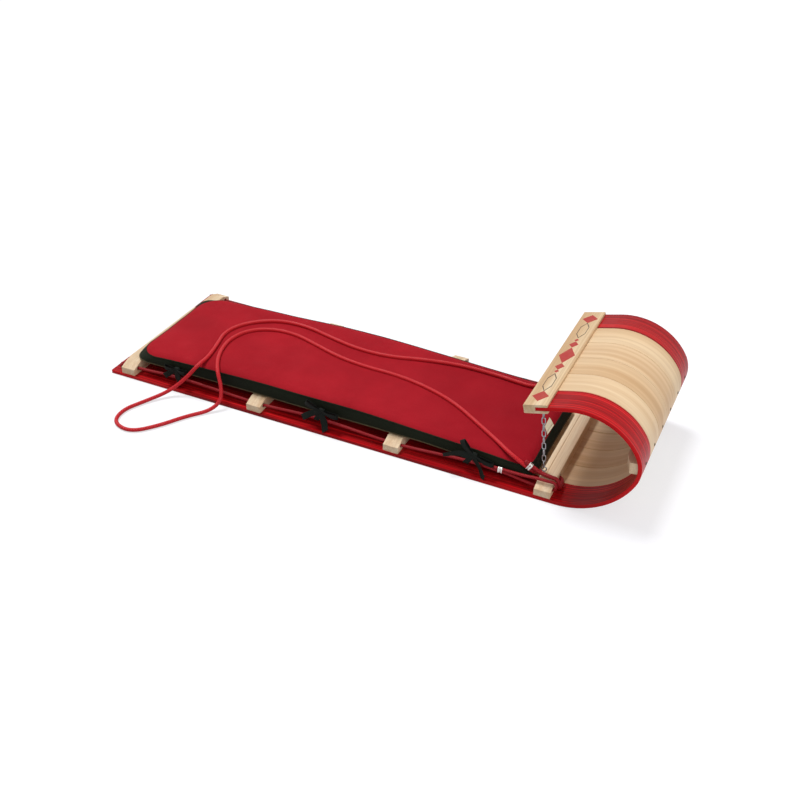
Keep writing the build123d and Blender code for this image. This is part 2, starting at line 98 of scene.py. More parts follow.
def putMesh(name, grid, materials, stands=(), faceSlots=None):
    # a grid's points and quads go into a mesh at the origin; a third part is one uv pair per face corner
    points, quads, uv = (*grid, None)[:3]
    mesh = bpy.data.meshes.new(name)
    mesh.from_pydata(np.asarray(points).reshape(-1, 3).tolist(), [], np.asarray(quads).tolist())
    mesh.polygons.foreach_set("use_smooth", np.ones(len(mesh.polygons), bool))
    if uv is not None:
        layer = mesh.uv_layers.new(name="UVMap")
        layer.data.foreach_set("uv", np.asarray(uv, float).ravel())
    for material in materials:
        mesh.materials.append(material)
    if faceSlots is not None:
        mesh.polygons.foreach_set("material_index", np.asarray(faceSlots, np.int32))
    piece = bpy.data.objects.new(name, mesh)
    scene.collection.objects.link(piece)
    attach(piece, "root")
    if stands:
        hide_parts(*stands)
    return piece


def splinePath(name, controls, step):
    # reads the smooth NURBS line of the route, then spaces its points evenly by arc length
    curve = bpy.data.curves.new(name + "Route", "CURVE")
    curve.dimensions = "3D"
    curve.resolution_u = 16
    spline = curve.splines.new("NURBS")
    spline.points.add(len(controls) - 1)
    spline.points.foreach_set("co", np.c_[controls, np.ones(len(controls))].ravel())
    spline.order_u = 3
    spline.use_endpoint_u = True
    carrier = bpy.data.objects.new(name + "Route", curve)
    line = bpy.data.meshes.new_from_object(carrier)
    read = np.empty(len(line.vertices) * 3)
    line.vertices.foreach_get("co", read)
    read = read.reshape(-1, 3)
    bpy.data.objects.remove(carrier)
    bpy.data.curves.remove(curve)
    bpy.data.meshes.remove(line)
    gone = runLength(read)
    even = np.linspace(0, gone[-1], max(3, int(round(gone[-1] / step)) + 1))
    return np.stack([np.interp(even, gone, read[:, k]) for k in range(3)], -1)


def ringsOn(tangent, side, count):
    # a unit circle square to each tangent: cos a * side + sin a * rise, where rise is tangent x side
    rise = np.cross(tangent, side)
    turn = roundSteps(count)
    return np.cos(turn)[None, :, None] * side[:, None] + np.sin(turn)[None, :, None] * rise[:, None]


def tubeGrid(path, radius, count, up):
    # circle carried along a path, centre + r * ring, closed by domed ends; uv is metres along, turns around
    tangent = unit(np.gradient(path, axis=0))
    dome = np.array([0.002, 0.502, 0.852])
    reach = np.array([0.55, 0.45, 0.2])
    path = np.concatenate([
        path[0] - tangent[0] * (reach * radius)[:, None], path,
        path[-1] + tangent[-1] * (reach[::-1] * radius)[:, None]])
    tangent = np.concatenate([np.repeat(tangent[:1], 3, 0), tangent, np.repeat(tangent[-1:], 3, 0)])
    swell = np.concatenate([dome, np.ones(len(path) - 6), dome[::-1]])
    ring = ringsOn(tangent, unit(np.cross(up, tangent)), count)
    grid = path[:, None] + radius * swell[:, None, None] * ring
    gone = runLength(path)
    low = np.arange(count) / count
    u = np.stack([gone[:-1], gone[:-1], gone[1:], gone[1:]], -1)[:, None, :]
    v = np.stack([low, low + 1 / count, low + 1 / count, low], -1)[None, :, :]
    uv = np.stack(np.broadcast_arrays(u, v), -1).reshape(-1, 2)
    return grid.reshape(-1, 3), gridQuads(len(path), count), uv


def ropeGrid(name, route, diameter, step, count, up):
    # a tube along the smooth line of a route that is given in mm
    return tubeGrid(splinePath(name, np.array(route, float) * mm, step * mm), diameter / 2 * mm, count, up)


def tint(r, g, b):
    # sRGB 0-255 to the linear colour that a shader takes
    c = np.array([r, g, b]) / 255
    return (*np.where(c <= 0.04045, c / 12.92, ((c + 0.055) / 1.055) ** 2.4).tolist(), 1.0)


def newGroup(name, inputs, outputs):
    # an empty shader group with named sockets: its tree, its inputs and its output node
    tree = bpy.data.node_groups.new(name, "ShaderNodeTree")
    for label, kind, value in inputs:
        socket = tree.interface.new_socket(label, in_out="INPUT", socket_type="NodeSocket" + kind)
        if value is not None:
            socket.default_value = value
    for label, kind in outputs:
        tree.interface.new_socket(label, in_out="OUTPUT", socket_type="NodeSocket" + kind)
    return tree, tree.nodes.new("NodeGroupInput").outputs, tree.nodes.new("NodeGroupOutput")


def giveOut(tree, gOut, values):
    # links each named value to the group's output
    for key, value in values.items():
        tree.links.new(value, gOut.inputs[key])
    return tree


def put(tree, kind, inputs=(), **settings):
    # adds a node, sets its settings, and fills or links its inputs
    node = tree.nodes.new("ShaderNode" + kind)
    for key, value in settings.items():
        setattr(node, key, value)
    for key, value in dict(inputs).items():
        if isinstance(value, bpy.types.NodeSocket):
            tree.links.new(value, node.inputs[key])
        else:
            node.inputs[key].default_value = value
    return node


def maths(tree, operation, a, b=0.0, clamp=False):
    # one Math node: its result for one or two inputs
    return put(tree, "Math", {0: a, 1: b}, operation=operation, use_clamp=clamp).outputs[0]


def vectorMaths(tree, operation, a, b):
    # one Vector Math node: its result for two inputs
    return put(tree, "VectorMath", {0: a, 1: b}, operation=operation).outputs[0]


def noise(tree, vector, scale, detail, **more):
    # one Noise Texture: its grey value
    return put(tree, "TexNoise", {"Vector": vector, "Scale": scale, "Detail": detail, **more}).outputs["Fac"]


def ramp(tree, value, stops):
    # colour read off a row of (place, colour) stops
    node = put(tree, "ValToRGB", {"Fac": value})
    while len(node.color_ramp.elements) < len(stops):
        node.color_ramp.elements.new(0.5)
    for element, (place, colour) in zip(node.color_ramp.elements, stops):
        element.position = place
        element.color = colour
    return node.outputs["Color"]


def mixColour(tree, factor, a, b):
    # the second colour laid over the first by a share
    return put(tree, "Mix", {0: factor, 6: a, 7: b}, data_type="RGBA").outputs[2]


# where the grain starts to turn with the curl, and the mean radius that it turns at, m
bend = {"startX": 0.505, "radius": 0.118}


def makeBentPlank():
    # unrolls the curl about its middle: distance along the plank is angle times radius, place across is kept
    tree, gIn, gOut = newGroup("bentPlank", [("Vector", "Vector", None)], [("Vector", "Vector")])
    xyz = put(tree, "SeparateXYZ", {0: gIn["Vector"]}).outputs
    dx = maths(tree, "SUBTRACT", xyz[0], bend["startX"])
    dz = maths(tree, "SUBTRACT", bend["radius"], xyz[2])
    angle = maths(tree, "ARCTAN2", dx, dz)
    past = maths(tree, "LESS_THAN", angle, -np.pi / 2)
    angle = maths(tree, "ADD", angle, maths(tree, "MULTIPLY", past, fullTurn))
    flat = maths(tree, "LESS_THAN", angle, 0.0)
    turned = maths(tree, "MULTIPLY", maths(tree, "MAXIMUM", angle, 0.0), bend["radius"])
    along = maths(tree, "ADD", turned, maths(tree, "MULTIPLY", dx, flat))
    return giveOut(tree, gOut, {"Vector": put(tree, "CombineXYZ", {0: along, 1: xyz[1]}).outputs[0]})


# how far each pattern of the wood is stretched, and what it adds to the relief
grain = {"along": 1.1, "lineStretch": (1.6, 4.2, 4.2), "lineSharp": 7.0, "lineHeight": -0.3,
         "fibreStretch": (14.0, 900.0, 900.0), "fibreHeight": 0.7, "fleckFrom": 0.45}


def makeWoodFigure():
    # streaks: noise stretched along the grain; lines: a finer noise crossing its middle; fibres: finest noise
    tree, gIn, gOut = newGroup(
        "woodFigure",
        [("Vector", "Vector", None), ("Seed", "Float", 0.0), ("Across", "Float", 34.0)],
        [("Streak", "Float"), ("Line", "Float"), ("Fibre", "Float"), ("Height", "Float")])
    shift = put(tree, "CombineXYZ", {k: gIn["Seed"] for k in range(3)}).outputs[0]
    moved = vectorMaths(tree, "ADD", gIn["Vector"], shift)
    wide = put(tree, "CombineXYZ", {0: grain["along"], 1: gIn["Across"], 2: gIn["Across"]}).outputs[0]
    broad = vectorMaths(tree, "MULTIPLY", moved, wide)
    streak = noise(tree, broad, 1.0, 3.0, Roughness=0.55, Distortion=0.4)
    narrow = vectorMaths(tree, "MULTIPLY", broad, grain["lineStretch"])
    lines = noise(tree, narrow, 1.0, 2.0, Roughness=0.6)
    ridge = maths(tree, "ABSOLUTE", maths(tree, "SUBTRACT", lines, 0.5))
    ridge = maths(tree, "SUBTRACT", 1.0, maths(tree, "MULTIPLY", ridge, grain["lineSharp"]), clamp=True)
    thin = vectorMaths(tree, "MULTIPLY", moved, grain["fibreStretch"])
    fibre = noise(tree, thin, 1.0, 2.0, Roughness=0.6)
    height = maths(
        tree, "ADD", maths(tree, "MULTIPLY", fibre, grain["fibreHeight"]),
        maths(tree, "MULTIPLY", ridge, grain["lineHeight"]))
    return giveOut(tree, gOut, {"Streak": streak, "Line": ridge, "Fibre": fibre, "Height": height})


def makeWeave():
    # plain weave: two crossed sine waves, with a slow and a fine noise for uneven dye
    tree, gIn, gOut = newGroup(
        "clothWeave", [("Vector", "Vector", None), ("Threads", "Float", 1400.0)],
        [("Shade", "Float"), ("Height", "Float")])
    xyz = put(tree, "SeparateXYZ", {0: gIn["Vector"]}).outputs
    turns = maths(tree, "MULTIPLY", gIn["Threads"], fullTurn)
    warp = maths(tree, "SINE", maths(tree, "MULTIPLY", xyz[0], turns))
    weft = maths(tree, "SINE", maths(tree, "MULTIPLY", maths(tree, "ADD", xyz[1], xyz[2]), turns))
    slow = maths(tree, "MULTIPLY", noise(tree, gIn["Vector"], 9.0, 5.0, Roughness=0.6), 0.75)
    fine = maths(tree, "MULTIPLY", noise(tree, gIn["Vector"], 420.0, 2.0), 0.25)
    return giveOut(tree, gOut, {
        "Shade": maths(tree, "ADD", slow, fine), "Height": maths(tree, "MULTIPLY", warp, weft)})


def makeBraid():
    # braid: two sets of helices that cross, worked out from the rope's own UV (metres along, turns around);
    # its shade darkens the rope where the strands dip, painted shade in the braid's grooves
    tree, gIn, gOut = newGroup(
        "ropeBraid", [("Vector", "Vector", None), ("Pitch", "Float", 0.012), ("Strands", "Float", 6.0)],
        [("Shade", "Float"), ("Height", "Float")])
    uvw = put(tree, "SeparateXYZ", {0: gIn["Vector"]}).outputs
    along = maths(tree, "MULTIPLY", maths(tree, "DIVIDE", uvw[0], gIn["Pitch"]), fullTurn * 3)
    around = maths(tree, "MULTIPLY", maths(tree, "MULTIPLY", uvw[1], gIn["Strands"]), fullTurn)
    one = maths(tree, "COSINE", maths(tree, "ADD", around, along))
    two = maths(tree, "COSINE", maths(tree, "SUBTRACT", around, along))
    over = maths(tree, "MAXIMUM", one, two)
    # painted shade: the rope is darker where the strands dip
    grooveShade = maths(tree, "ADD", maths(tree, "MULTIPLY", over, 0.4), 0.6, clamp=True)
    return giveOut(tree, gOut, {"Shade": grooveShade, "Height": over})


def makeHandling():
    # wear and dust: large patches broken up by small specks
    tree, gIn, gOut = newGroup(
        "handlingWear", [("Vector", "Vector", None), ("Scale", "Float", 14.0)], [("Patch", "Float")])
    large = noise(tree, gIn["Vector"], gIn["Scale"], 4.0)
    small = noise(tree, gIn["Vector"], 260.0, 2.0)
    patch = maths(tree, "MULTIPLY", large, maths(tree, "ADD", small, 0.5), clamp=True)
    return giveOut(tree, gOut, {"Patch": patch})


bentPlank, woodFigure, clothWeave, ropeBraid, handlingWear = (
    makeBentPlank(), makeWoodFigure(), makeWeave(), makeBraid(), makeHandling())


def newFinish(name):
    # a new material: its tree, its Principled shader and the sockets of a Texture Coordinate node
    finish = bpy.data.materials.new(name)
    finish.use_nodes = True
    tree = finish.node_tree
    return finish, tree, tree.nodes["Principled BSDF"], tree.nodes.new("ShaderNodeTexCoord").outputs


def useGroup(tree, group, inputs):
    # the sockets of a group that is placed in a tree, its inputs linked or set
    return put(tree, "Group", inputs, node_tree=group).outputs


def setPlain(shader, values):
    # values that are the same all over the surface, on the shader's own sockets
    for key, value in values.items():
        shader.inputs[key].default_value = value


def bumpInto(tree, shader, height, distance):
    # a height turned into the shader's normal, the depth given in metres
    bump = put(tree, "Bump", {"Height": height, "Distance": distance, "Strength": 1.0})
    tree.links.new(bump.outputs["Normal"], shader.inputs["Normal"])


wornRange = (0.2, 0.7)   # the patch values between which wear shows


def wearInto(tree, shader, coord, look):
    # patches of handling wear spread the roughness between the look's two values; gives the patches back
    patch = useGroup(tree, handlingWear, {"Vector": coord["Object"], "Scale": look["patch"]})["Patch"]
    rough = put(tree, "MapRange", dict(enumerate((patch, *wornRange, *look["rough"]))))
    tree.links.new(rough.outputs[0], shader.inputs["Roughness"])
    return patch


def woodFinish(name, look, bent=True, seed=0.0):
    # streaks pick a colour between three tones, dark lines and flecks lie over it, wear sets the roughness
    finish, tree, shader, coord = newFinish(name)
    if bent:
        vector = useGroup(tree, bentPlank, {"Vector": coord["Object"]})["Vector"]
    else:
        quarter = {"Vector": coord["Object"], "Rotation": (0, 0, np.pi / 2)}
        vector = put(tree, "Mapping", quarter).outputs["Vector"]
    figure = useGroup(tree, woodFigure, {"Vector": vector, "Seed": seed, "Across": look["across"]})
    tones = [(0.3, look["deep"]), (0.47, look["mid"]), (0.66, look["light"])]
    colour = ramp(tree, figure["Streak"], tones)
    lined = maths(tree, "MULTIPLY", figure["Line"], look["lineAmount"])
    colour = mixColour(tree, lined, colour, look["line"])
    fibre = maths(tree, "SUBTRACT", figure["Fibre"], grain["fleckFrom"], clamp=True)
    colour = mixColour(tree, maths(tree, "MULTIPLY", fibre, look["fleckAmount"]), colour, look["line"])
    tree.links.new(colour, shader.inputs["Base Color"])
    wearInto(tree, shader, coord, look)
    setPlain(shader, {
        "Specular IOR Level": look["shine"], "Coat Weight": look["coat"],
        "Coat Roughness": look["coatRough"]})
    bumpInto(tree, shader, figure["Height"], look["bump"])
    return finish


redStain = {
    "deep": tint(170, 9, 17), "mid": tint(201, 18, 24), "light": tint(222, 36, 38), "line": tint(70, 2, 8),
    "lineAmount": 0.7, "fleckAmount": 0.55, "across": 54.0, "rough": (0.3, 0.4), "patch": 9.0, "shine": 0.1,
    "coat": 0.0, "coatRough": 0.25, "bump": 0.00018}
paleSlat = {
    "deep": tint(208, 171, 130), "mid": tint(226, 196, 158), "light": tint(236, 212, 178),
    "line": tint(170, 126, 86), "lineAmount": 0.22, "fleckAmount": 0.3, "across": 17.0, "rough": (0.42, 0.55),
    "patch": 9.0, "shine": 0.2, "coat": 0.03, "coatRough": 0.35, "bump": 0.00006}
paleTones = ((1.0, 0.985, 0.96), (0.955, 0.915, 0.86), (1.02, 1.02, 1.02), (0.975, 0.945, 0.9))
barWood = {
    "deep": tint(208, 174, 134), "mid": tint(225, 197, 158), "light": tint(236, 214, 180),
    "line": tint(160, 116, 80), "lineAmount": 0.18, "fleckAmount": 0.9, "across": 40.0, "rough": (0.5, 0.62),
    "patch": 9.0, "shine": 0.18, "coat": 0.0, "coatRough": 0.4, "bump": 0.00008}
crossWood = {**barWood, "deep": tint(212, 178, 140), "mid": tint(229, 201, 166), "light": tint(240, 220, 189)}


def toned(look, tone):
    # the same look with each of its colours multiplied by the tone
    dyes = ("deep", "mid", "light", "line")
    return {**look, **{key: (*(np.array(look[key][:3]) * tone).tolist(), 1.0) for key in dyes}}


redSlatFinish = [
    woodFinish("redStainLeft", redStain, seed=3.1), woodFinish("redStainRight", redStain, seed=7.7)]
paleSlatFinish = [
    woodFinish(f"paleSlat{k + 1}", toned(paleSlat, tone), seed=11.3 + 5.9 * k)
    for k, tone in enumerate(paleTones)]
barFinish = woodFinish("barWood", barWood, bent=False, seed=2.4)
crossFinish = woodFinish("crossWood", crossWood, bent=False, seed=7.1)


def clothFinish(name, look):
    # weave picks a shade between two dyes, a painted front shade darkens the front where the look has one,
    # wear sets the roughness
    finish, tree, shader, coord = newFinish(name)
    weave = useGroup(tree, clothWeave, {"Vector": coord["Object"], "Threads": look["threads"]})
    colour = ramp(tree, weave["Shade"], [(0.3, look["deep"]), (0.68, look["light"])])
    if "paintedFrontShade" in look:   # painted shade: the cloth is mixed towards a darker red towards the front, standing in for the shade there
        start, end, amount, frontShadeRed = look["paintedFrontShade"]
        along = put(tree, "SeparateXYZ", {0: coord["Object"]}).outputs[0]
        frontShadeShare = put(tree, "MapRange", {0: along, 1: start, 2: end, 3: 0.0, 4: amount}).outputs[0]
        colour = mixColour(tree, frontShadeShare, colour, frontShadeRed)
    tree.links.new(colour, shader.inputs["Base Color"])
    wearInto(tree, shader, coord, look)
    setPlain(shader, {
        "Specular IOR Level": look["shine"], "Sheen Weight": look["sheen"],
        "Sheen Roughness": look["sheenRough"], "Sheen Tint": look["sheenTint"]})
    bumpInto(tree, shader, weave["Height"], look["bump"])
    return finish


blackTape = {
    "deep": tint(10, 14, 11), "light": tint(24, 29, 24), "rough": (0.6, 0.75), "patch": 20.0, "shine": 0.12,
    "sheen": 0.02, "sheenRough": 0.4, "sheenTint": tint(170, 170, 180), "threads": 900.0, "bump": 0.0001}
# the red cover's painted front shade: from x = 0 to 0.4 m it is mixed up to 0.6 of the way towards a darker
# red
redCover = {
    **blackTape, "deep": tint(150, 21, 32), "light": tint(176, 31, 42), "rough": (0.7, 0.85), "shine": 0.06,
    "paintedFrontShade": (0.0, 0.4, 0.6, tint(138, 12, 27)), "sheenTint": tint(255, 150, 150), "bump": 0.00006}
blackCover = {
    **blackTape, "deep": tint(16, 19, 12), "light": tint(32, 37, 25), "rough": (0.7, 0.85), "shine": 0.1,
    "sheen": 0.01, "sheenTint": tint(160, 170, 160), "threads": 700.0}
brownBinding = {
    **blackTape, "deep": tint(70, 60, 42), "light": tint(106, 94, 68), "shine": 0.15, "sheen": 0.01,
    "sheenTint": tint(160, 140, 120)}
creamLabel = {
    **brownBinding, "deep": tint(206, 196, 164), "light": tint(226, 218, 190),
    "sheenTint": tint(240, 236, 220), "bump": 0.00006}
bindingFinish = clothFinish("brownBinding", brownBinding)
labelFinish = clothFinish("creamLabel", creamLabel)
redCoverFinish = clothFinish("redCover", redCover)
blackCoverFinish = clothFinish("blackCover", blackCover)
tapeFinish = clothFinish("blackTape", blackTape)


def ropeFinish(name, look):
    # the braid's painted groove shade mixes a deep and a light red along the rope's own UV
    finish, tree, shader, coord = newFinish(name)
    lay = {"Vector": coord["UV"], "Pitch": look["pitch"], "Strands": look["strands"]}
    braid = useGroup(tree, ropeBraid, lay)
    colour = mixColour(tree, braid["Shade"], look["deep"], look["light"])
    tree.links.new(colour, shader.inputs["Base Color"])
    wearInto(tree, shader, coord, look)
    setPlain(shader, {"Specular IOR Level": look["shine"]})
    bumpInto(tree, shader, braid["Height"], look["bump"])
    return finish


redRope = {"deep": tint(150, 12, 22), "light": tint(206, 30, 40), "pitch": 0.016, "strands": 5.0,
           "rough": (0.4, 0.55), "patch": 30.0, "shine": 0.25, "bump": 0.0002}
# painted shade: a darker copy of the red rope, standing in for the shade that the hand ropes and the tow
# rope's eyes lie in
paintedShadeRope = {**redRope, "deep": tint(92, 6, 14), "light": tint(158, 18, 28)}
ropeRedFinish = ropeFinish("redRope", redRope)
paintedShadeRopeFinish = ropeFinish("paintedShadeRope", paintedShadeRope)


def metalFinish(name, look):
    # patches mix two greys and set the roughness
    finish, tree, shader, coord = newFinish(name)
    patch = wearInto(tree, shader, coord, look)
    tree.links.new(mixColour(tree, patch, look["light"], look["deep"]), shader.inputs["Base Color"])
    setPlain(shader, {"Metallic": 1.0})
    bumpInto(tree, shader, patch, look["bump"])
    return finish


chainSteel = {"light": tint(184, 185, 188), "deep": tint(116, 116, 119), "rough": (0.2, 0.4), "patch": 160.0,
              "bump": 0.00005}
ferruleMetal = {"light": tint(222, 220, 214), "deep": tint(176, 172, 166), "rough": (0.25, 0.42),
                "patch": 200.0, "bump": 0.00008}
darkScrew = {"light": tint(92, 84, 74), "deep": tint(52, 46, 42), "rough": (0.35, 0.5), "patch": 240.0,
             "bump": 0.00005}
chainFinish = metalFinish("chainSteel", chainSteel)
ferruleFinish = metalFinish("ferruleMetal", ferruleMetal)
screwFinish = metalFinish("darkScrew", darkScrew)
print("finishes made")

# cushion, mm: its outline and red panel as rear, front, right, left, rear corner and front corner, then the
# upper seam's height and the far edge along x; the tow rope lies on it, so its values stand here
cushion = {
    "outline": (-568.0, 400.0, -176.5, 127.0, 38.0, 30.0),
    "panel": (-558.0, 391.0, -175.5, 126.0, 58.0, 34.0),
    "seamX": (-561, -540, -490, -409, -292, -216, 0, 71, 139, 206, 272, 336, 369, 393),
    "seamZ": (50, 53, 57.5, 61, 64, 66, 66.3, 64, 60.5, 57.5, 55, 51, 48, 45),
    "farX": (-560, -420, -313, -178, -73, 53, 177, 297, 390),
    "farY": (128, 126, 127, 132.5, 133, 129, 128.5, 127, 126),
    "farCorner": (-560.0, 122.0, 55.0, 12.0), "bottom": 33.3, "lowSeam": 36.8, "lowEdge": 9.0,
    "droopFrom": 153.0, "droopSlope": 0.0541, "edge": 18.0, "puff": 6.0, "crown": 2.0, "rounding": 2.2,
    "step": 6.0, "bandRows": 5, "bulge": 2.6, "pull": 1.5, "ripples": ((0.6, 61.0, 0.4), (0.5, 37.0, 2.0)),
    "rippleShare": 0.7, "average": 40, "pressure": 4.0, "frames": 20, "swell": 2.2, "cord": 1.3}


def seamHeight(x):
    # the upper seam's height along the cushion: straight between the listed places, averaged to both sides
    reach = np.linspace(-cushion["average"], cushion["average"], 17)
    return np.interp(np.asarray(x, float)[..., None] + reach, cushion["seamX"], cushion["seamZ"]).mean(-1)


def droopAt(x):
    # the cushion's front sinks in a straight slope past its third crosspiece
    return cushion["droopSlope"] * np.maximum(0, x - cushion["droopFrom"])


# tow rope: the route of its centre line, mm; a height of zero means that it lies on the cushion
towRope = {
    "diameter": 8.5, "step": 3.0, "round": 16, "above": 12.6,
    "route": [
        (381.4, -172.5, 49.5), (349, -174.5, 68), (306, -139, 0), (258.5, -109, 0), (179.5, -58, 0),
        (102, -33, 0), (26, -23, 0), (-50, -25, 0), (-121, -15, 0), (-186.5, 7, 0), (-255, 30.5, 0),
        (-315, 29.5, 0), (-364, 1, 0), (-382, -52.5, 0), (-373.5, -102.5, 0), (-357, -144, 0),
        (-331, -185.5, 76), (-314, -198.5, 46), (-308, -212.5, 20), (-322.5, -238, 4.55), (-356, -278, 4.55),
        (-387.5, -333.5, 4.55), (-429, -381, 4.55), (-481, -367.5, 4.55), (-492, -320, 4.55),
        (-470.5, -272.5, 4.55), (-443, -228.5, 10), (-422, -205, 26), (-399, -192.5, 52),
        (-382.5, -185.5, 75), (-382, -141.5, 0), (-393, -92, 0),
        (-411, -25.5, 0), (-385, 32, 0), (-324, 72.5, 0), (-248, 74.5, 0), (-172.5, 52, 0), (-96, 35.5, 0),
        (-20, 37.5, 0), (54.5, 65, 0), (132.5, 86.5, 0), (206, 91, 0), (270, 88, 0), (303, 88, 0),
        (330, 108, 0), (345, 142, 66), (357, 173, 62), (382, 177, 49.5)]}
route = np.array(towRope["route"], float)
route[:, 2] = np.where(route[:, 2] == 0, seamHeight(route[:, 0]) + towRope["above"], route[:, 2])
towPath = splinePath("towRope", route * mm, towRope["step"] * mm)
towGrid = tubeGrid(towPath, towRope["diameter"] / 2 * mm, towRope["round"], (0, 0, 1))
towPiece = putMesh("towRope", towGrid, [ropeRedFinish], ["tow_rope"])

# tow rope's eyes: out through the front crosspiece's hole, up its front face and back over its top, mm
towEyes = {
    "apart": 8.2, "ferrule": 8.5, "tail": 8.0, "step": 1.5, "up": (0.2, 0.9, 0.4),
    "out": (-3, 7), "home": (9, -4),
    "loop": [(398.5, 155, 29), (397.5, 138, 20.5), (411, 136, 20), (436, 136, 20), (450.5, 140, 18),
             (451.5, 160, 15.5), (451.5, 173, 21), (449, 174, 41), (434, 171, 39.2), (411, 168, 39.8)]}
sleeve = {"wall": 1.4, "pinch": 0.3, "pinchReach": 0.13, "flats": 2.6, "round": 40}


def sideEnds(side):
    # the tow rope's end at one side: its last point, the way it runs, and up square to that
    end, before = (route[0], route[1]) if side == "right" else (route[-1], route[-2])
    forward = unit(end - before)
    upward = unit(np.cross(forward, np.cross((0, 0, 1), forward)))
    return end, forward, upward


def ferruleGrid(start, forward, upward, ropeRadius, apart, length):
    # oval sleeve round two strands: a circle stretched by their spacing, pinched mid-length, lips rolled in
    turn = roundSteps(sleeve["round"])
    place = np.array([0.02, 0.0, 0.03, 0.1, 0.22, 0.36, 0.43, 0.5, 0.57, 0.64, 0.78, 0.9, 0.97, 1.0, 0.98])
    swell = np.array([0.002, 0.84, 0.95, 1, 1, 0.97, 0.95, 0.95, 0.95, 0.97, 1, 1, 0.95, 0.84, 0.002])
    press = 1 - sleeve["pinch"] * np.exp(-((place - 0.5) / sleeve["pinchReach"]) ** 2)
    side = np.cross(upward, forward)
    radius = ropeRadius + sleeve["wall"]
    wide = radius * np.cos(turn)[None] * (swell * press)[:, None]
    tall = radius * np.sin(turn) + apart / 2 * np.clip(sleeve["flats"] * np.sin(turn), -1, 1)
    tall = tall[None] * swell[:, None]
    grid = start + upward * apart / 2 + (place * length)[:, None, None] * forward
    grid = grid + wide[..., None] * side + tall[..., None] * upward
    return grid.reshape(-1, 3) * mm, gridQuads(len(place), len(turn))


for side, sign in bothSides.items():
    end, forward, upward = sideEnds(side)
    low = end + forward * towEyes["ferrule"]
    high = low + upward * towEyes["apart"]
    home = (*towEyes["home"], -towEyes["ferrule"] - towEyes["tail"])
    eyeRoute = np.concatenate([
        [low + forward * d for d in towEyes["out"]], np.array(towEyes["loop"]) * (1, sign, 1),
        [high + forward * d for d in home]])
    eye = ropeGrid("towEye", eyeRoute, towRope["diameter"], towEyes["step"], towRope["round"], towEyes["up"])
    # the eye takes the painted-shade rope finish, darker than the tow rope that it belongs to
    putMesh("towEye_" + side, eye, [paintedShadeRopeFinish], ["tow_rope_eye_" + side])
    ferrule = ferruleGrid(end, forward, upward, towRope["diameter"] / 2, towEyes["apart"], towEyes["ferrule"])
    putMesh("towFerrule_" + side, ferrule, [ferruleFinish], ["tow_ferrule_" + side])
print("tow rope ends set")

# hand ropes, mm: knotted behind the rear crosspiece, through three holes, crimped in an eye at the front one
handRope = {
    "diameter": 6.5, "round": 14, "step": 3.0, "eyeStep": 1.5, "y": 184.0, "z": 20.0, "rearX": -545.0,
    "bars": (-234.16, 95.78), "beside": 24.0, "leadX": 300.0, "tieY": 181.0,
    "ties": {"right": (-439.3, -85.4, 258.03), "left": (-414.4, -85.4, 258.03)},
    "tieZ": {"right": (26.5, 27.5, 29.5), "left": (20.0, 21.0, 16.5)},
    "ferruleX": 326.5, "ferruleZ": {"right": 28.5, "left": 15.0}, "ferrule": 10.0, "apart": 5.6, "tail": 8.0}
knots = {"x": -581.4, "size": 5.0, "steps": 120, "round": 12, "squeeze": 0.95, "uvLength": 0.06,
         "lead": -4.0, "middle": -6.5, "tail": ((-6, 0, 0), (-12, 1, -3), (-15, 2, -9))}


def trefoil(t):
    # trefoil curve, flat along the rope: -sin 3t, sin t + 2 sin 2t, cos t - 2 cos 2t
    curve = [-np.sin(3 * t) * knots["squeeze"], np.sin(t) + 2 * np.sin(2 * t), np.cos(t) - 2 * np.cos(2 * t)]
    return np.stack(curve, -1) / 3 * knots["size"]


def overhandGrid(middle, ropeRadius):
    # overhand knot: the trefoil carried as a closed tube
    steps, count = knots["steps"], knots["round"]
    t = roundSteps(steps)
    tangent = unit(trefoil(t + 1e-3) - trefoil(t - 1e-3))
    ring = ringsOn(tangent, unit(np.cross(tangent, (1.0, 0.02, 0.01))), count)
    grid = (middle + trefoil(t))[:, None] + ropeRadius * ring
    u = (np.arange(steps)[:, None, None] + np.array([0, 0, 1, 1])) / steps * knots["uvLength"]
    v = (np.arange(count)[None, :, None] + np.array([0, 1, 1, 0])) / count
    uv = np.stack(np.broadcast_arrays(u, v), -1).reshape(-1, 2)
    return grid.reshape(-1, 3) * mm, gridQuads(steps, count, wrapRows=True), uv


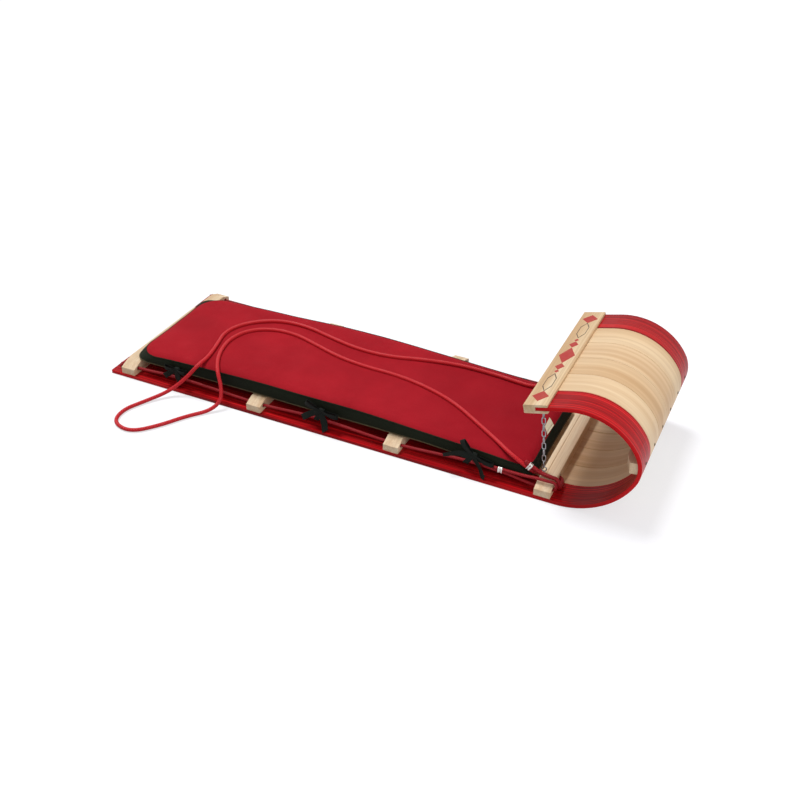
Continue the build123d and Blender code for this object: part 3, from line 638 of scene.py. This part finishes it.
for side, sign in bothSides.items():
    y, z, beside = handRope["y"] * sign, handRope["z"], handRope["beside"]
    tied = [(x, handRope["tieY"] * sign, h) for x, h in zip(handRope["ties"][side], handRope["tieZ"][side])]
    diameter, ferruleX, rise = handRope["diameter"], handRope["ferruleX"], handRope["ferruleZ"][side]
    rearBar, frontBar = handRope["bars"]
    handRoute = [
        (knots["x"] + knots["lead"], y, z), (handRope["rearX"], y, z), tied[0], (rearBar - beside, y, z),
        (rearBar + beside, y, z), tied[1], (frontBar - beside, y, z), (frontBar + beside, y, z), tied[2],
        (handRope["leadX"], y, rise + 1), (ferruleX + 5, y, rise)]
    rope = ropeGrid("handRope", handRoute, diameter, handRope["step"], handRope["round"], (0, 0, 1))
    # the hand rope, its eye and its knot take the painted-shade rope finish
    putMesh("handRope_" + side, rope, [paintedShadeRopeFinish], ["hand_rope_" + side])
    frontX = ferruleX + handRope["ferrule"]
    upper = rise + handRope["apart"]
    eyeRoute = [
        (frontX - 3, y, rise), (352, y, rise * 0.8 + 4), (378, y, rise * 0.3 + 14), (400, y, z), (434, y, z),
        (448.7, y, z), (448.7, y, 38.5), (428, y, 37.4), (404, y, 37.2), (384, y, upper * 0.5 + 17.5),
        (358, y, upper), (frontX, y, upper), (ferruleX - handRope["tail"], y, upper)]
    eye = ropeGrid("handEye", eyeRoute, diameter, handRope["eyeStep"], handRope["round"], (0, 1, 0))
    putMesh("handEye_" + side, eye, [paintedShadeRopeFinish], ["hand_rope_eye_" + side])
    ferrule = ferruleGrid(
        np.array((ferruleX, y, rise)), np.array((1.0, 0, 0)), np.array((0, 0, 1.0)), diameter / 2,
        handRope["apart"], handRope["ferrule"])
    putMesh("handFerrule_" + side, ferrule, [ferruleFinish], ["hand_ferrule_" + side])
    knot = overhandGrid(np.array((knots["x"] + knots["middle"], y, z)), diameter / 2)
    tailRoute = np.array((knots["x"], y, z)) + knots["tail"]
    tail = ropeGrid("knotTail", tailRoute, diameter, handRope["eyeStep"], knots["round"], (0, 1, 0))
    knotted = joinGrids([knot, tail])
    putMesh("ropeKnot_" + side, knotted, [paintedShadeRopeFinish], ["hand_rope_knot_" + side])
print("hand ropes set")

# header bar's front edge with its two directions, then stay chains and screw eyes, mm
header = {"front": np.array((415.9, 0, 219.25)), "lip": 5.2,
          "back": np.array((-0.9681, 0, -0.2504)), "out": np.array((-0.2504, 0, 0.9681))}
chain = {"y": 152.0, "links": 10, "wire": 2.4, "width": 9.6, "gap": 0.35, "eyeWire": 2.6, "eyeRadius": 5.0,
         "eyeRise": 7.3, "upperFoot": (393.06, 199.71), "lowerFoot": (412.33, 33.0),
         "round": 40, "wireRound": 10, "shankRound": 12, "shank": (5.2, 6.5), "shankSet": 2.0}


def ringGrid(middles, along, faces, straight, radius, wire):
    # closed wire link: a circle drawn out by its straight sides, with a round wire carried along it
    t, b = roundSteps(chain["round"]), roundSteps(chain["wireRound"])
    px = straight / 2 * np.clip(4 * np.cos(t), -1, 1) + radius * np.cos(t)
    pz = radius * np.sin(t)
    faces = np.asarray(faces, float)[:, None, None]
    along = np.asarray(along, float)
    lateral = np.cross(faces, along)
    body = np.asarray(middles, float)[:, None, None] + px[:, None, None] * along + pz[:, None, None] * lateral
    swing = np.cos(t)[:, None, None] * along + np.sin(t)[:, None, None] * lateral
    grid = body + wire / 2 * (np.cos(b)[:, None] * swing - np.sin(b)[:, None] * faces)
    quads = [gridQuads(len(t), len(b), wrapRows=True, first=len(t) * len(b) * k) for k in range(len(grid))]
    return grid.reshape(-1, 3) * mm, np.concatenate(quads)


for side, sign in bothSides.items():
    feet = (chain["upperFoot"], chain["lowerFoot"])
    upperFoot, lowerFoot = (np.array((x, chain["y"] * sign, z)) for x, z in feet)
    upperEye = upperFoot - header["out"] * chain["eyeRise"]
    lowerEye = lowerFoot + np.array((0, 0, chain["eyeRise"]))
    span = np.linalg.norm(lowerEye - upperEye)
    along = (lowerEye - upperEye) / span
    hook = chain["eyeWire"] / 2 + chain["wire"] / 2 + chain["gap"]
    pitch = (span - 2 * chain["eyeRadius"] + 2 * hook - chain["wire"] - chain["gap"]) / chain["links"]
    linkLength = pitch + chain["gap"] + chain["wire"]
    bendRadius = (chain["width"] - chain["wire"]) / 2
    number = np.arange(chain["links"])
    middles = upperEye + along * (chain["eyeRadius"] - hook + linkLength / 2 + pitch * number)[:, None]
    across = np.cross(along, (0, 1.0, 0))
    faces = np.where((number % 2 == 0)[:, None], (0, 1.0, 0), across)
    straight = linkLength - 2 * bendRadius - chain["wire"]
    links = ringGrid(middles, along, faces, straight, bendRadius, chain["wire"])
    putMesh("stayChain_" + side, links, [chainFinish], ["stay_chain_" + side])
    for name, node, foot, eye, inward, axis in (
            ("headerEye_", "header_eye_", upperFoot, upperEye, header["out"], header["back"]),
            ("barEye_", "crosspiece_eye_", lowerFoot, lowerEye, np.array((0, 0, -1.0)), (0, 1.0, 0))):
        ring = ringGrid([eye], inward, [axis], 0.0, chain["eyeRadius"], chain["eyeWire"])
        shankPath = [eye + inward * d for d in chain["shank"]] + [foot + inward * chain["shankSet"]]
        shank = tubeGrid(np.array(shankPath) * mm, chain["eyeWire"] / 2 * mm, chain["shankRound"], axis)[:2]
        putMesh(name + side, joinGrids([ring, shank]), [chainFinish], [node + side])
print("chains set, pitch", round(pitch, 3), "mm")


def panelGrid(box, nx, ny):
    # oblong grid with round corners: the corner squares are pressed onto quarter discs, each side is drawn in
    # a little by its seam, and the far edge follows its own line
    rear, front, right, left, rearCorner, frontCorner = box
    x, y = np.meshgrid(np.linspace(rear, front, nx), np.linspace(right, left, ny), indexing="ij")
    cx, cy, hx, hy = (rear + front) / 2, (right + left) / 2, (front - rear) / 2, (left - right) / 2
    r = np.where(x > cx, frontCorner, rearCorner)
    a = np.clip((np.abs(x - cx) - (hx - r)) / r, 0, 1)
    b = np.clip((np.abs(y - cy) - (hy - r)) / r, 0, 1)
    a2, b2 = a * np.sqrt(1 - b * b / 2), b * np.sqrt(1 - a * a / 2)
    x = np.where(a > 0, cx + np.sign(x - cx) * (hx - r + r * a2), x)
    y = np.where(b > 0, cy + np.sign(y - cy) * (hy - r + r * b2), y)
    inset = r - r * np.hypot(a2, b2)
    sx, sy = (x - cx) / hx, (y - cy) / hy
    ripple = sum(size * np.sin(x / run + start) for size, run, start in cushion["ripples"])
    drawn = cushion["pull"] * (1 - sx ** 2) + ripple * cushion["rippleShare"]
    y = y - np.sign(sy) * np.abs(sy) ** 6 * drawn
    x = x - np.sign(sx) * np.abs(sx) ** 10 * (cushion["pull"] * (1 - sy ** 2))
    y = y + np.maximum(sy, 0) ** 2 * (np.interp(x, cushion["farX"], cushion["farY"]) - left)
    return x, y, inset, sx, sy


def cushionGrid(c):
    # two panels and a boxing strip: the top rises from the seam by a puff and a crown of parabolas,
    # the underside is flat with a rounded rim, and the strip bulges between them
    rear, front, right, left, rearCorner, frontCorner = c["outline"]
    nx = int(round((front - rear) / c["step"])) + 1
    ny = int(round((left - right) / c["step"])) + 1
    topX, topY, inset, sx, sy = panelGrid(c["panel"], nx, ny)
    fall = 1 - np.clip(inset / c["edge"], 0, 1)
    crown = c["crown"] * (1 - sx ** 4) * (1 - sy ** 2)
    upper = seamHeight(topX) + c["puff"] * (1 - fall ** c["rounding"]) + crown
    lowX, lowY, inset, sx, sy = panelGrid(c["outline"], nx, ny)
    turnUp = (1 - np.clip(inset / c["lowEdge"], 0, 1)) ** c["rounding"]
    lower = c["bottom"] + (c["lowSeam"] - c["bottom"]) * turnUp - droopAt(lowX)
    cornerX, cornerY, reach, lift = c["farCorner"]
    lower = lower + lift * np.exp(-((lowX - cornerX) ** 2 + (lowY - cornerY) ** 2) / reach ** 2)
    edge = gridEdge(nx, ny)
    topPoints = np.stack([topX, topY, upper], -1).reshape(-1, 3)
    lowPoints = np.stack([lowX, lowY, lower], -1).reshape(-1, 3)
    rim, foot = topPoints[edge], lowPoints[edge]
    r = np.where(foot[:, 0] > (rear + front) / 2, frontCorner, rearCorner)
    core = np.stack([np.clip(foot[:, 0], rear + r, front - r), np.clip(foot[:, 1], right + r, left - r)], -1)
    outward = np.c_[unit(foot[:, :2] - core), np.zeros(len(foot))]
    down = np.linspace(0, 1, c["bandRows"] + 2)[1:-1]
    bulge = outward[None] * (c["bulge"] * 4 * down * (1 - down))[:, None, None]
    band = rim[None] + (foot - rim)[None] * down[:, None, None] + bulge
    points = np.concatenate([topPoints, lowPoints, band.reshape(-1, 3)])
    count, loop = nx * ny, len(edge)
    top = gridQuads(nx, ny, wrapCols=False)[:, [0, 3, 2, 1]]
    under = gridQuads(nx, ny, wrapCols=False, first=count)
    bandRows = 2 * count + np.arange(c["bandRows"] * loop).reshape(-1, loop)
    rows = np.concatenate([edge[None], bandRows, count + edge[None]])
    upperRow, lowerRow = rows[:-1], rows[1:]
    strip = np.stack([upperRow, lowerRow, np.roll(lowerRow, -1, 1), np.roll(upperRow, -1, 1)], -1)
    strip = strip.reshape(-1, 4)
    kinds = np.concatenate([np.zeros(len(top)), np.ones(len(under)), np.ones(len(strip))])
    return points * mm, np.concatenate([top, under, strip]), kinds, edge, count + edge


# cushion: red top panel, black boxing and underside, swollen by a short cloth run
cushionPoints, cushionQuads, panelKinds, seamTop, seamLow = cushionGrid(cushion)
panelRows = np.unique(cushionQuads[panelKinds == 0])
cushionPiece = putMesh(
    "seatCushion", (cushionPoints, cushionQuads), [redCoverFinish, blackCoverFinish],
    ["cushion"], faceSlots=panelKinds)
cloth = cushionPiece.modifiers.new("swell", "CLOTH")
cloth.settings.use_pressure = True
cloth.settings.uniform_pressure_force = cushion["pressure"]
cloth.settings.effector_weights.gravity = 0.0
cloth.settings.quality = 5
for step in range(1, cushion["frames"] + 1):
    scene.frame_set(step)
swollen = cushionPiece.evaluated_get(bpy.context.evaluated_depsgraph_get()).data
moved = np.empty(len(swollen.vertices) * 3)
swollen.vertices.foreach_get("co", moved)
shift = moved.reshape(-1, 3) - cushionPoints
far = np.linalg.norm(shift, axis=1, keepdims=True)
shift *= np.minimum(1, cushion["swell"] * mm / np.maximum(far, 1e-9))
cushionPiece.modifiers.remove(cloth)
scene.frame_set(1)
cushionPoints = cushionPoints + shift
floorZ = (cushion["bottom"] - droopAt(cushionPoints[:, 0] / mm)) * mm
cushionPoints[:, 2] = np.maximum(cushionPoints[:, 2], floorZ)   # flat where it rests on the crosspieces
cushionPiece.data.vertices.foreach_set("co", cushionPoints.ravel())
cushionPiece.data.update()
print("cushion swelled, mean", round(float(far.mean()) / mm, 2), "mm before the cap")
smoothing = cushionPiece.modifiers.new("soften", "SUBSURF")
smoothing.levels = smoothing.render_levels = 1


def beadGrid(loop, radius, count=8):
    # round bead along a closed seam: circle carried round the loop, square to its run
    tangent = unit(np.roll(loop, -1, 0) - np.roll(loop, 1, 0))
    grid = loop[:, None] + radius * ringsOn(tangent, unit(np.cross((0, 0, 1.0), tangent)), count)
    return grid.reshape(-1, 3), gridQuads(len(loop), count, wrapRows=True)


for name, seam, finish in (
        ("cushionPiping", seamTop, blackCoverFinish), ("cushionBinding", seamLow, bindingFinish)):
    putMesh(name, beadGrid(cushionPoints[seam], cushion["cord"] * mm), [finish])

# sewn label: a blank tab on the red panel near its front edge, its four corners and lift above the cloth, mm
label = {"corners": ((371, 5), (386, -9), (384.5, -49), (372, -31)), "lift": 0.9, "thick": 0.5,
         "rows": 9, "cols": 17}


def labelGrid(c):
    # a sheet spread evenly between four corners, set above the mean of the panel's four nearest points
    rows, cols = c["rows"], c["cols"]
    u, v = np.meshgrid(np.linspace(0, 1, rows), np.linspace(0, 1, cols), indexing="ij")
    shares = np.stack([(1 - u) * (1 - v), u * (1 - v), u * v, (1 - u) * v], -1)
    flat = (shares @ np.array(c["corners"], float)).reshape(-1, 2)
    panel = cushionPoints[panelRows] / mm
    near = np.argsort(np.linalg.norm(panel[None, :, :2] - flat[:, None], axis=2), axis=1)[:, :4]
    height = panel[near, 2].mean(1) + c["lift"]
    points = np.concatenate([np.c_[flat, height], np.c_[flat, height - c["thick"]]])
    edge, count = gridEdge(rows, cols), rows * cols
    nextEdge = np.roll(edge, -1)
    rim = np.stack([edge, edge + count, nextEdge + count, nextEdge], -1)
    top = gridQuads(rows, cols, wrapCols=False)
    return points * mm, np.concatenate([top, top[:, ::-1] + count, rim])


putMesh("cushionLabel", labelGrid(label), [labelFinish])
print("cushion set")

# ties: black tape knotted round the hand rope in a bow; loops and tails as angle and length, mm
bows = {
    "width": 14.0, "thick": 1.2, "knot": (7.6, 4.0, 6.4), "ropeTurn": 4.9, "strapWidth": 11.0, "lowest": 11.5,
    "levelling": 4.0, "ropeOff": (0.8, -1.9), "y": {"right": -182.4, "left": 136.0},
    "loopShape": {"off": 2.4, "under": 1.2, "over": 7.5, "sag": 0.1, "lean": 0.35},
    "tailShape": {"off": 2.5, "lean": 0.3, "sway": 1.6, "drop": 0.12, "twist": 0.5},
    "shift": {"right": (0, 10, 14), "left": (0, 0, 0)},
    "z": {"right": (46.0, 48.0, 48.0), "left": (40.0, 42.0, 38.0)},
    "loops": {"right": (((168, 31), (6, 28)), ((152, 40), (2, 40)), ((126, 42), (-6, 44))),
              "left": (((184, 36), (-6, 38)), ((186, 42), (-5, 40)), ((188, 38), (-8, 44)))},
    "tails": {"right": (((-76, 35), (205, 30)), ((-66, 46), (200, 40)), ((-50, 50), (178, 58))),
              "left": (((-60, 40), (220, 38)), ((-44, 48), (222, 42)), ((-30, 46), (214, 40)))}}


def squareOff(wave, power):
    # a wave with its bends squared off: its sign times its size to a power
    return np.sign(wave) * np.abs(wave) ** power


def tapeGrid(path, across, width):
    # flat tape: a rounded oblong carried along the path, its width laid along the given direction
    tangent = unit(np.gradient(path, axis=0))
    across = np.broadcast_to(across, path.shape)
    across = unit(across - tangent * np.sum(across * tangent, -1, keepdims=True))
    face = np.cross(tangent, across)
    path, across, face = (np.concatenate([v[:1], v, v[-1:]]) for v in (path, across, face))
    closing = [0.01]
    width = np.concatenate([closing, np.broadcast_to(width, len(path) - 2), closing])
    thin = np.concatenate([closing, np.full(len(path) - 2, bows["thick"]), closing])
    turn = roundSteps(12)
    flat = across[:, None] * (width[:, None] / 2 * squareOff(np.cos(turn), 0.45))[..., None]
    deep = face[:, None] * (thin[:, None] / 2 * squareOff(np.sin(turn), 0.6))[..., None]
    return (path[:, None] + flat + deep).reshape(-1, 3) * mm, gridQuads(len(path), len(turn))


def tapeWay(angle):
    # the way that a tape leaves its knot, along the sled and up, and the way square to it
    x, z = np.cos(np.radians(angle)), np.sin(np.radians(angle))
    return np.array((x, 0, z)), np.array((-z, 0, x))


def loopGrid(knot, outward, angle, length):
    # a loop goes out along the cushion's side by a half wave, sags, and comes back over itself
    reach, sideways = tapeWay(angle)
    t = np.linspace(0, 1, 29)
    wave, half = np.sin(fullTurn * t), np.sin(np.pi * t)
    shape = bows["loopShape"]
    off = shape["off"] - np.where(wave > 0, shape["under"], shape["over"]) * wave
    path = knot + reach * (length * half ** 1.1)[:, None] + outward * off[:, None]
    path[:, 2] -= shape["sag"] * length * half ** 2 * np.abs(reach[0])
    lean = sideways + outward * shape["lean"] * reach[0]
    return tapeGrid(path, lean, bows["width"] * (0.5 + 0.5 * half ** 0.6))


def tailGrid(knot, outward, angle, length):
    # a tail hangs, leans outwards by a power of its run, and levels off above the slat as a hyperbola does
    reach, sideways = tapeWay(angle)
    t = np.linspace(0, 1, 22)
    shape = bows["tailShape"]
    off = shape["off"] + shape["lean"] * length * t ** 1.4 + shape["sway"] * np.sin(2.6 * np.pi * t)
    path = knot + reach * (length * t)[:, None] + outward * off[:, None]
    above = path[:, 2] - shape["drop"] * length * t ** 2 - bows["lowest"]
    path[:, 2] = bows["lowest"] + (above + np.sqrt(above ** 2 + bows["levelling"] ** 2)) / 2
    twist = sideways + outward * (shape["twist"] * np.sin(2.2 * t + angle))[:, None]
    return tapeGrid(path, twist, bows["width"] * (0.5 + 0.5 * np.minimum(1, t * 5)))


def strapGrid(knot, ropeAt):
    # a long ring of tape from the knot round the hand rope and back: a circle drawn out by its straight sides
    t = np.linspace(0, fullTurn, 48)
    far = np.linalg.norm(ropeAt - knot)
    way = (ropeAt - knot) / far
    run = far / 2 * np.clip(-4 * np.cos(t), -1, 1) - bows["ropeTurn"] * np.cos(t)
    aside = bows["ropeTurn"] * np.sin(t)
    ring = (knot + ropeAt) / 2 + run[:, None] * way + aside[:, None] * np.cross((1.0, 0, 0), way)
    return tapeGrid(ring, (1.0, 0, 0), bows["strapWidth"])


def knotGrid(middle):
    # a squared-off ball with a shallow turn of tape across it
    u, v = np.meshgrid(np.linspace(-np.pi / 2, np.pi / 2, 15), roundSteps(24), indexing="ij")
    groove = squareOff(np.cos(u), 0.6) * (1 + 0.07 * np.cos(3 * u))
    y, z = groove * squareOff(np.cos(v), 0.7), groove * squareOff(np.sin(v), 0.7)
    ball = np.stack([squareOff(np.sin(u), 0.7), y, z], -1) * bows["knot"]
    return (middle + ball).reshape(-1, 3) * mm, gridQuads(*u.shape)


aside, below = bows["ropeOff"]
for side, sign in bothSides.items():
    outward = np.array((0, sign, 0))
    for k, tieX in enumerate(handRope["ties"][side]):
        knot = np.array((tieX + bows["shift"][side][k], bows["y"][side], bows["z"][side][k]))
        ropeAt = np.array((tieX, (handRope["tieY"] + aside) * sign, handRope["tieZ"][side][k] + below))
        tapes = [loopGrid(knot, outward, *loop) for loop in bows["loops"][side][k]]
        tapes += [tailGrid(knot, outward, *tail) for tail in bows["tails"][side][k]]
        tapes += [strapGrid(knot, ropeAt), knotGrid(knot + outward)]
        putMesh(f"tie_{side}{k + 1}", joinGrids(tapes), [tapeFinish], [f"tie_{side}_{k + 1}"])
print("ties set")

# screw heads outside the curl, into the batten, mm
screws = {"tilt": 3.0, "radius": 3.4, "dome": 1.1, "rim": 0.25, "skirt": -0.4, "recess": 0.9, "slot": 0.16,
          "slotReach": 0.56, "middle": (533.0, 129.17), "reach": 76.5, "y": (-170, -102, -34, 34, 102, 170)}


def screwGrid(seat, out, radius):
    # low dome with a crossed recess: height falls as the square of the radius, less the cross
    aside = np.array((0, 1.0, 0))
    above = np.cross(out, aside)
    r = radius * np.array([1.0, 1.0, 0.92, 0.75, 0.6, 0.52, 0.44, 0.3, 0.15, 0.003])[:, None]
    a = roundSteps(32)[None]
    narrow = np.minimum(np.abs(r * np.cos(a)), np.abs(r * np.sin(a))) < screws["slot"] * radius
    cross = narrow & (r < screws["slotReach"] * radius)
    height = screws["dome"] * (1 - (r / radius) ** 2) + screws["rim"] - screws["recess"] * cross
    height[0] = screws["skirt"]
    grid = seat + out * height[..., None]
    grid = grid + (r * np.cos(a))[..., None] * aside + (r * np.sin(a))[..., None] * above
    return grid.reshape(-1, 3) * mm, gridQuads(*height.shape)[:, ::-1]


tilt = np.radians(screws["tilt"])
out = np.array((np.cos(tilt), 0, np.sin(tilt)))
noseX, noseZ = screws["middle"]
seats = [np.array((noseX, y, noseZ)) + screws["reach"] * out for y in screws["y"]]
heads = [screwGrid(seat, out, screws["radius"]) for seat in seats]
putMesh("battenScrews", joinGrids(heads), [screwFinish])
print("screws set")

# header motif: red lozenges and thin dark lines laid into the bar's outer face, as middle and half sizes, mm
motif = {
    "red": [(-168, 24, 20, 17), (168, 24, 20, 17), (0, 24, 34, 17), (-48, 24, 14, 10), (48, 24, 14, 10),
            (-68, 24, 6, 5), (68, 24, 6, 5)],
    "frame": [(-113, 24, 20, 9.5), (113, 24, 20, 9.5)], "point": 0.55, "line": 1.3, "proud": 0.12,
    "skirt": -0.2, "redPaint": tint(172, 24, 32), "darkPaint": tint(58, 46, 40), "worn": 0.14, "patch": 40.0,
    "rough": 0.5, "shine": 0.2}


def paintFinish(name):
    # one paint, worn through to the wood in patches
    finish, tree, shader, coord = newFinish(name)
    patch = useGroup(tree, handlingWear, {"Vector": coord["Object"], "Scale": motif["patch"]})["Patch"]
    worn = mixColour(tree, maths(tree, "MULTIPLY", patch, motif["worn"]), motif[name], barWood["mid"])
    tree.links.new(worn, shader.inputs["Base Color"])
    setPlain(shader, {"Roughness": motif["rough"], "Specular IOR Level": motif["shine"]})
    return finish


def onHeader(u, v, h):
    # place on the header bar's outer face: u along the bar, v back from its front edge, h above the face
    base = header["front"] + u[..., None] * np.array((0, 1.0, 0))
    grid = base + v[..., None] * header["back"] + (h + header["lip"])[..., None] * header["out"]
    return grid.reshape(-1, 3) * mm, gridQuads(*u.shape)


def lozengeGrid(u0, v0, halfU, halfV):
    # lozenge: straight sides between its four points, closed to its middle and skirted into the wood
    t = roundSteps(32)
    norm = np.abs(np.cos(t)) + np.abs(np.sin(t))
    scale = np.array([1, 1, 0.97, 0.5, 0.003])[:, None]
    proud = motif["proud"]
    rise = np.array([motif["skirt"], proud * 0.7, proud, proud, proud])[:, None]
    return onHeader(u0 + halfU * scale * (np.cos(t) / norm), v0 + halfV * scale * (np.sin(t) / norm), rise)


def frameGrid(u0, v0, halfU, halfV):
    # thin closed outline with pointed ends: an oblong ring between two outlines a line apart
    t = roundSteps(64)
    slant = np.abs(np.cos(t)) * motif["point"] + np.abs(np.sin(t)) * motif["point"]
    norm = np.maximum(slant, np.abs(np.sin(t)))
    grow = np.array([0, 0, -motif["line"], -motif["line"]])[:, None]
    rise = np.array([motif["skirt"], motif["proud"], motif["proud"], motif["skirt"]])[:, None]
    u = u0 + (halfU + grow * 1.6) * (np.cos(t) / norm)
    v = v0 + (halfV + grow) * (np.sin(t) / norm)
    return onHeader(u, v, rise)


redPaint, darkPaint = paintFinish("redPaint"), paintFinish("darkPaint")
putMesh("headerLozenges", joinGrids([lozengeGrid(*row) for row in motif["red"]]), [redPaint])
putMesh("headerLines", joinGrids([frameGrid(*row) for row in motif["frame"]]), [darkPaint])
print("header motif set")

# the CAD woodwork takes its finishes
woodwork = {
    "side_slat_left": redSlatFinish[0], "side_slat_right": redSlatFinish[1],
    **{f"deck_slat_{k + 1}": finish for k, finish in enumerate(paleSlatFinish)},
    **{"crosspiece_" + place: crossFinish for place in ("front", "mid_front", "mid_rear", "rear")},
    "curl_batten": crossFinish, "header_bar": barFinish}
for node, finish in woodwork.items():
    if not cadNodes[node].material_slots:
        cadNodes[node].data.materials.append(finish)
    for slot in cadNodes[node].material_slots:
        slot.material = finish

# floor, world and lamps; each lamp as its place, its size and its power, the key's size in degrees
studio = {
    "floor": tint(174, 175, 181), "reach": 9, "rough": 0.9, "lift": 0.62, "ambient": 0.34,
    "aim": (0.0, 0.0, 0.05), "key": ((-1.2, 0.5, 2.9), 22.0, 2.25), "fill": ((2.8, -1.0, 1.1), 1.6, 30.0),
    "back": ((0.4, -3.0, 2.0), 2.0, 8.0)}


def seenRays(tree):
    # 1 where the camera sees the surface, straight, in gloss or through glass, 0 where it only gives light
    ray = tree.nodes.new("ShaderNodeLightPath").outputs
    mirrored = maths(tree, "MAXIMUM", ray["Is Glossy Ray"], ray["Is Transmission Ray"])
    return maths(tree, "MAXIMUM", ray["Is Camera Ray"], mirrored)


far = studio["reach"]
floorMesh = bpy.data.meshes.new("floor")
floorMesh.from_pydata([(-far, -far, 0), (far, -far, 0), (far, far, 0), (-far, far, 0)], [], [(0, 1, 2, 3)])
floor = bpy.data.objects.new("floor", floorMesh)
scene.collection.objects.link(floor)
floorFinish, tree, shader, coord = newFinish("floorPaper")
setPlain(shader, {"Base Color": studio["floor"], "Roughness": studio["rough"], "Specular IOR Level": 0.0})
lifted = maths(tree, "MULTIPLY", seenRays(tree), studio["lift"])
glow = put(tree, "Emission", {"Color": (1, 1, 1, 1), "Strength": lifted})
both = put(tree, "AddShader", {0: shader.outputs[0], 1: glow.outputs[0]})
tree.links.new(both.outputs[0], tree.nodes["Material Output"].inputs["Surface"])
floorMesh.materials.append(floorFinish)

world = bpy.data.worlds.new("studioWorld")
scene.world = world
world.use_nodes = True
tree = world.node_tree
sky = tree.nodes["Background"]
level = maths(tree, "MULTIPLY", seenRays(tree), 1 - studio["ambient"])
level = maths(tree, "ADD", level, studio["ambient"])
sky.inputs["Color"].default_value = (1, 1, 1, 1)
tree.links.new(level, sky.inputs["Strength"])


def softLamp(name, place, size, power):
    # a lamp aimed at the middle of the sled: the key is far off and as wide as its angle, the rest are panels
    key = name == "keyLamp"
    data = bpy.data.lights.new(name, "SUN" if key else "AREA")
    if key:
        data.angle = np.radians(size)
    else:
        data.size = size
    data.energy = power
    lamp = bpy.data.objects.new(name, data)
    lamp.location = place
    aim = unit(np.subtract(studio["aim"], place))
    lamp.rotation_euler = (np.arccos(-aim[2]), 0, np.arctan2(-aim[0], aim[1]))
    scene.collection.objects.link(lamp)


for name in ("key", "fill", "back"):
    softLamp(name + "Lamp", *studio[name])
print("studio set")
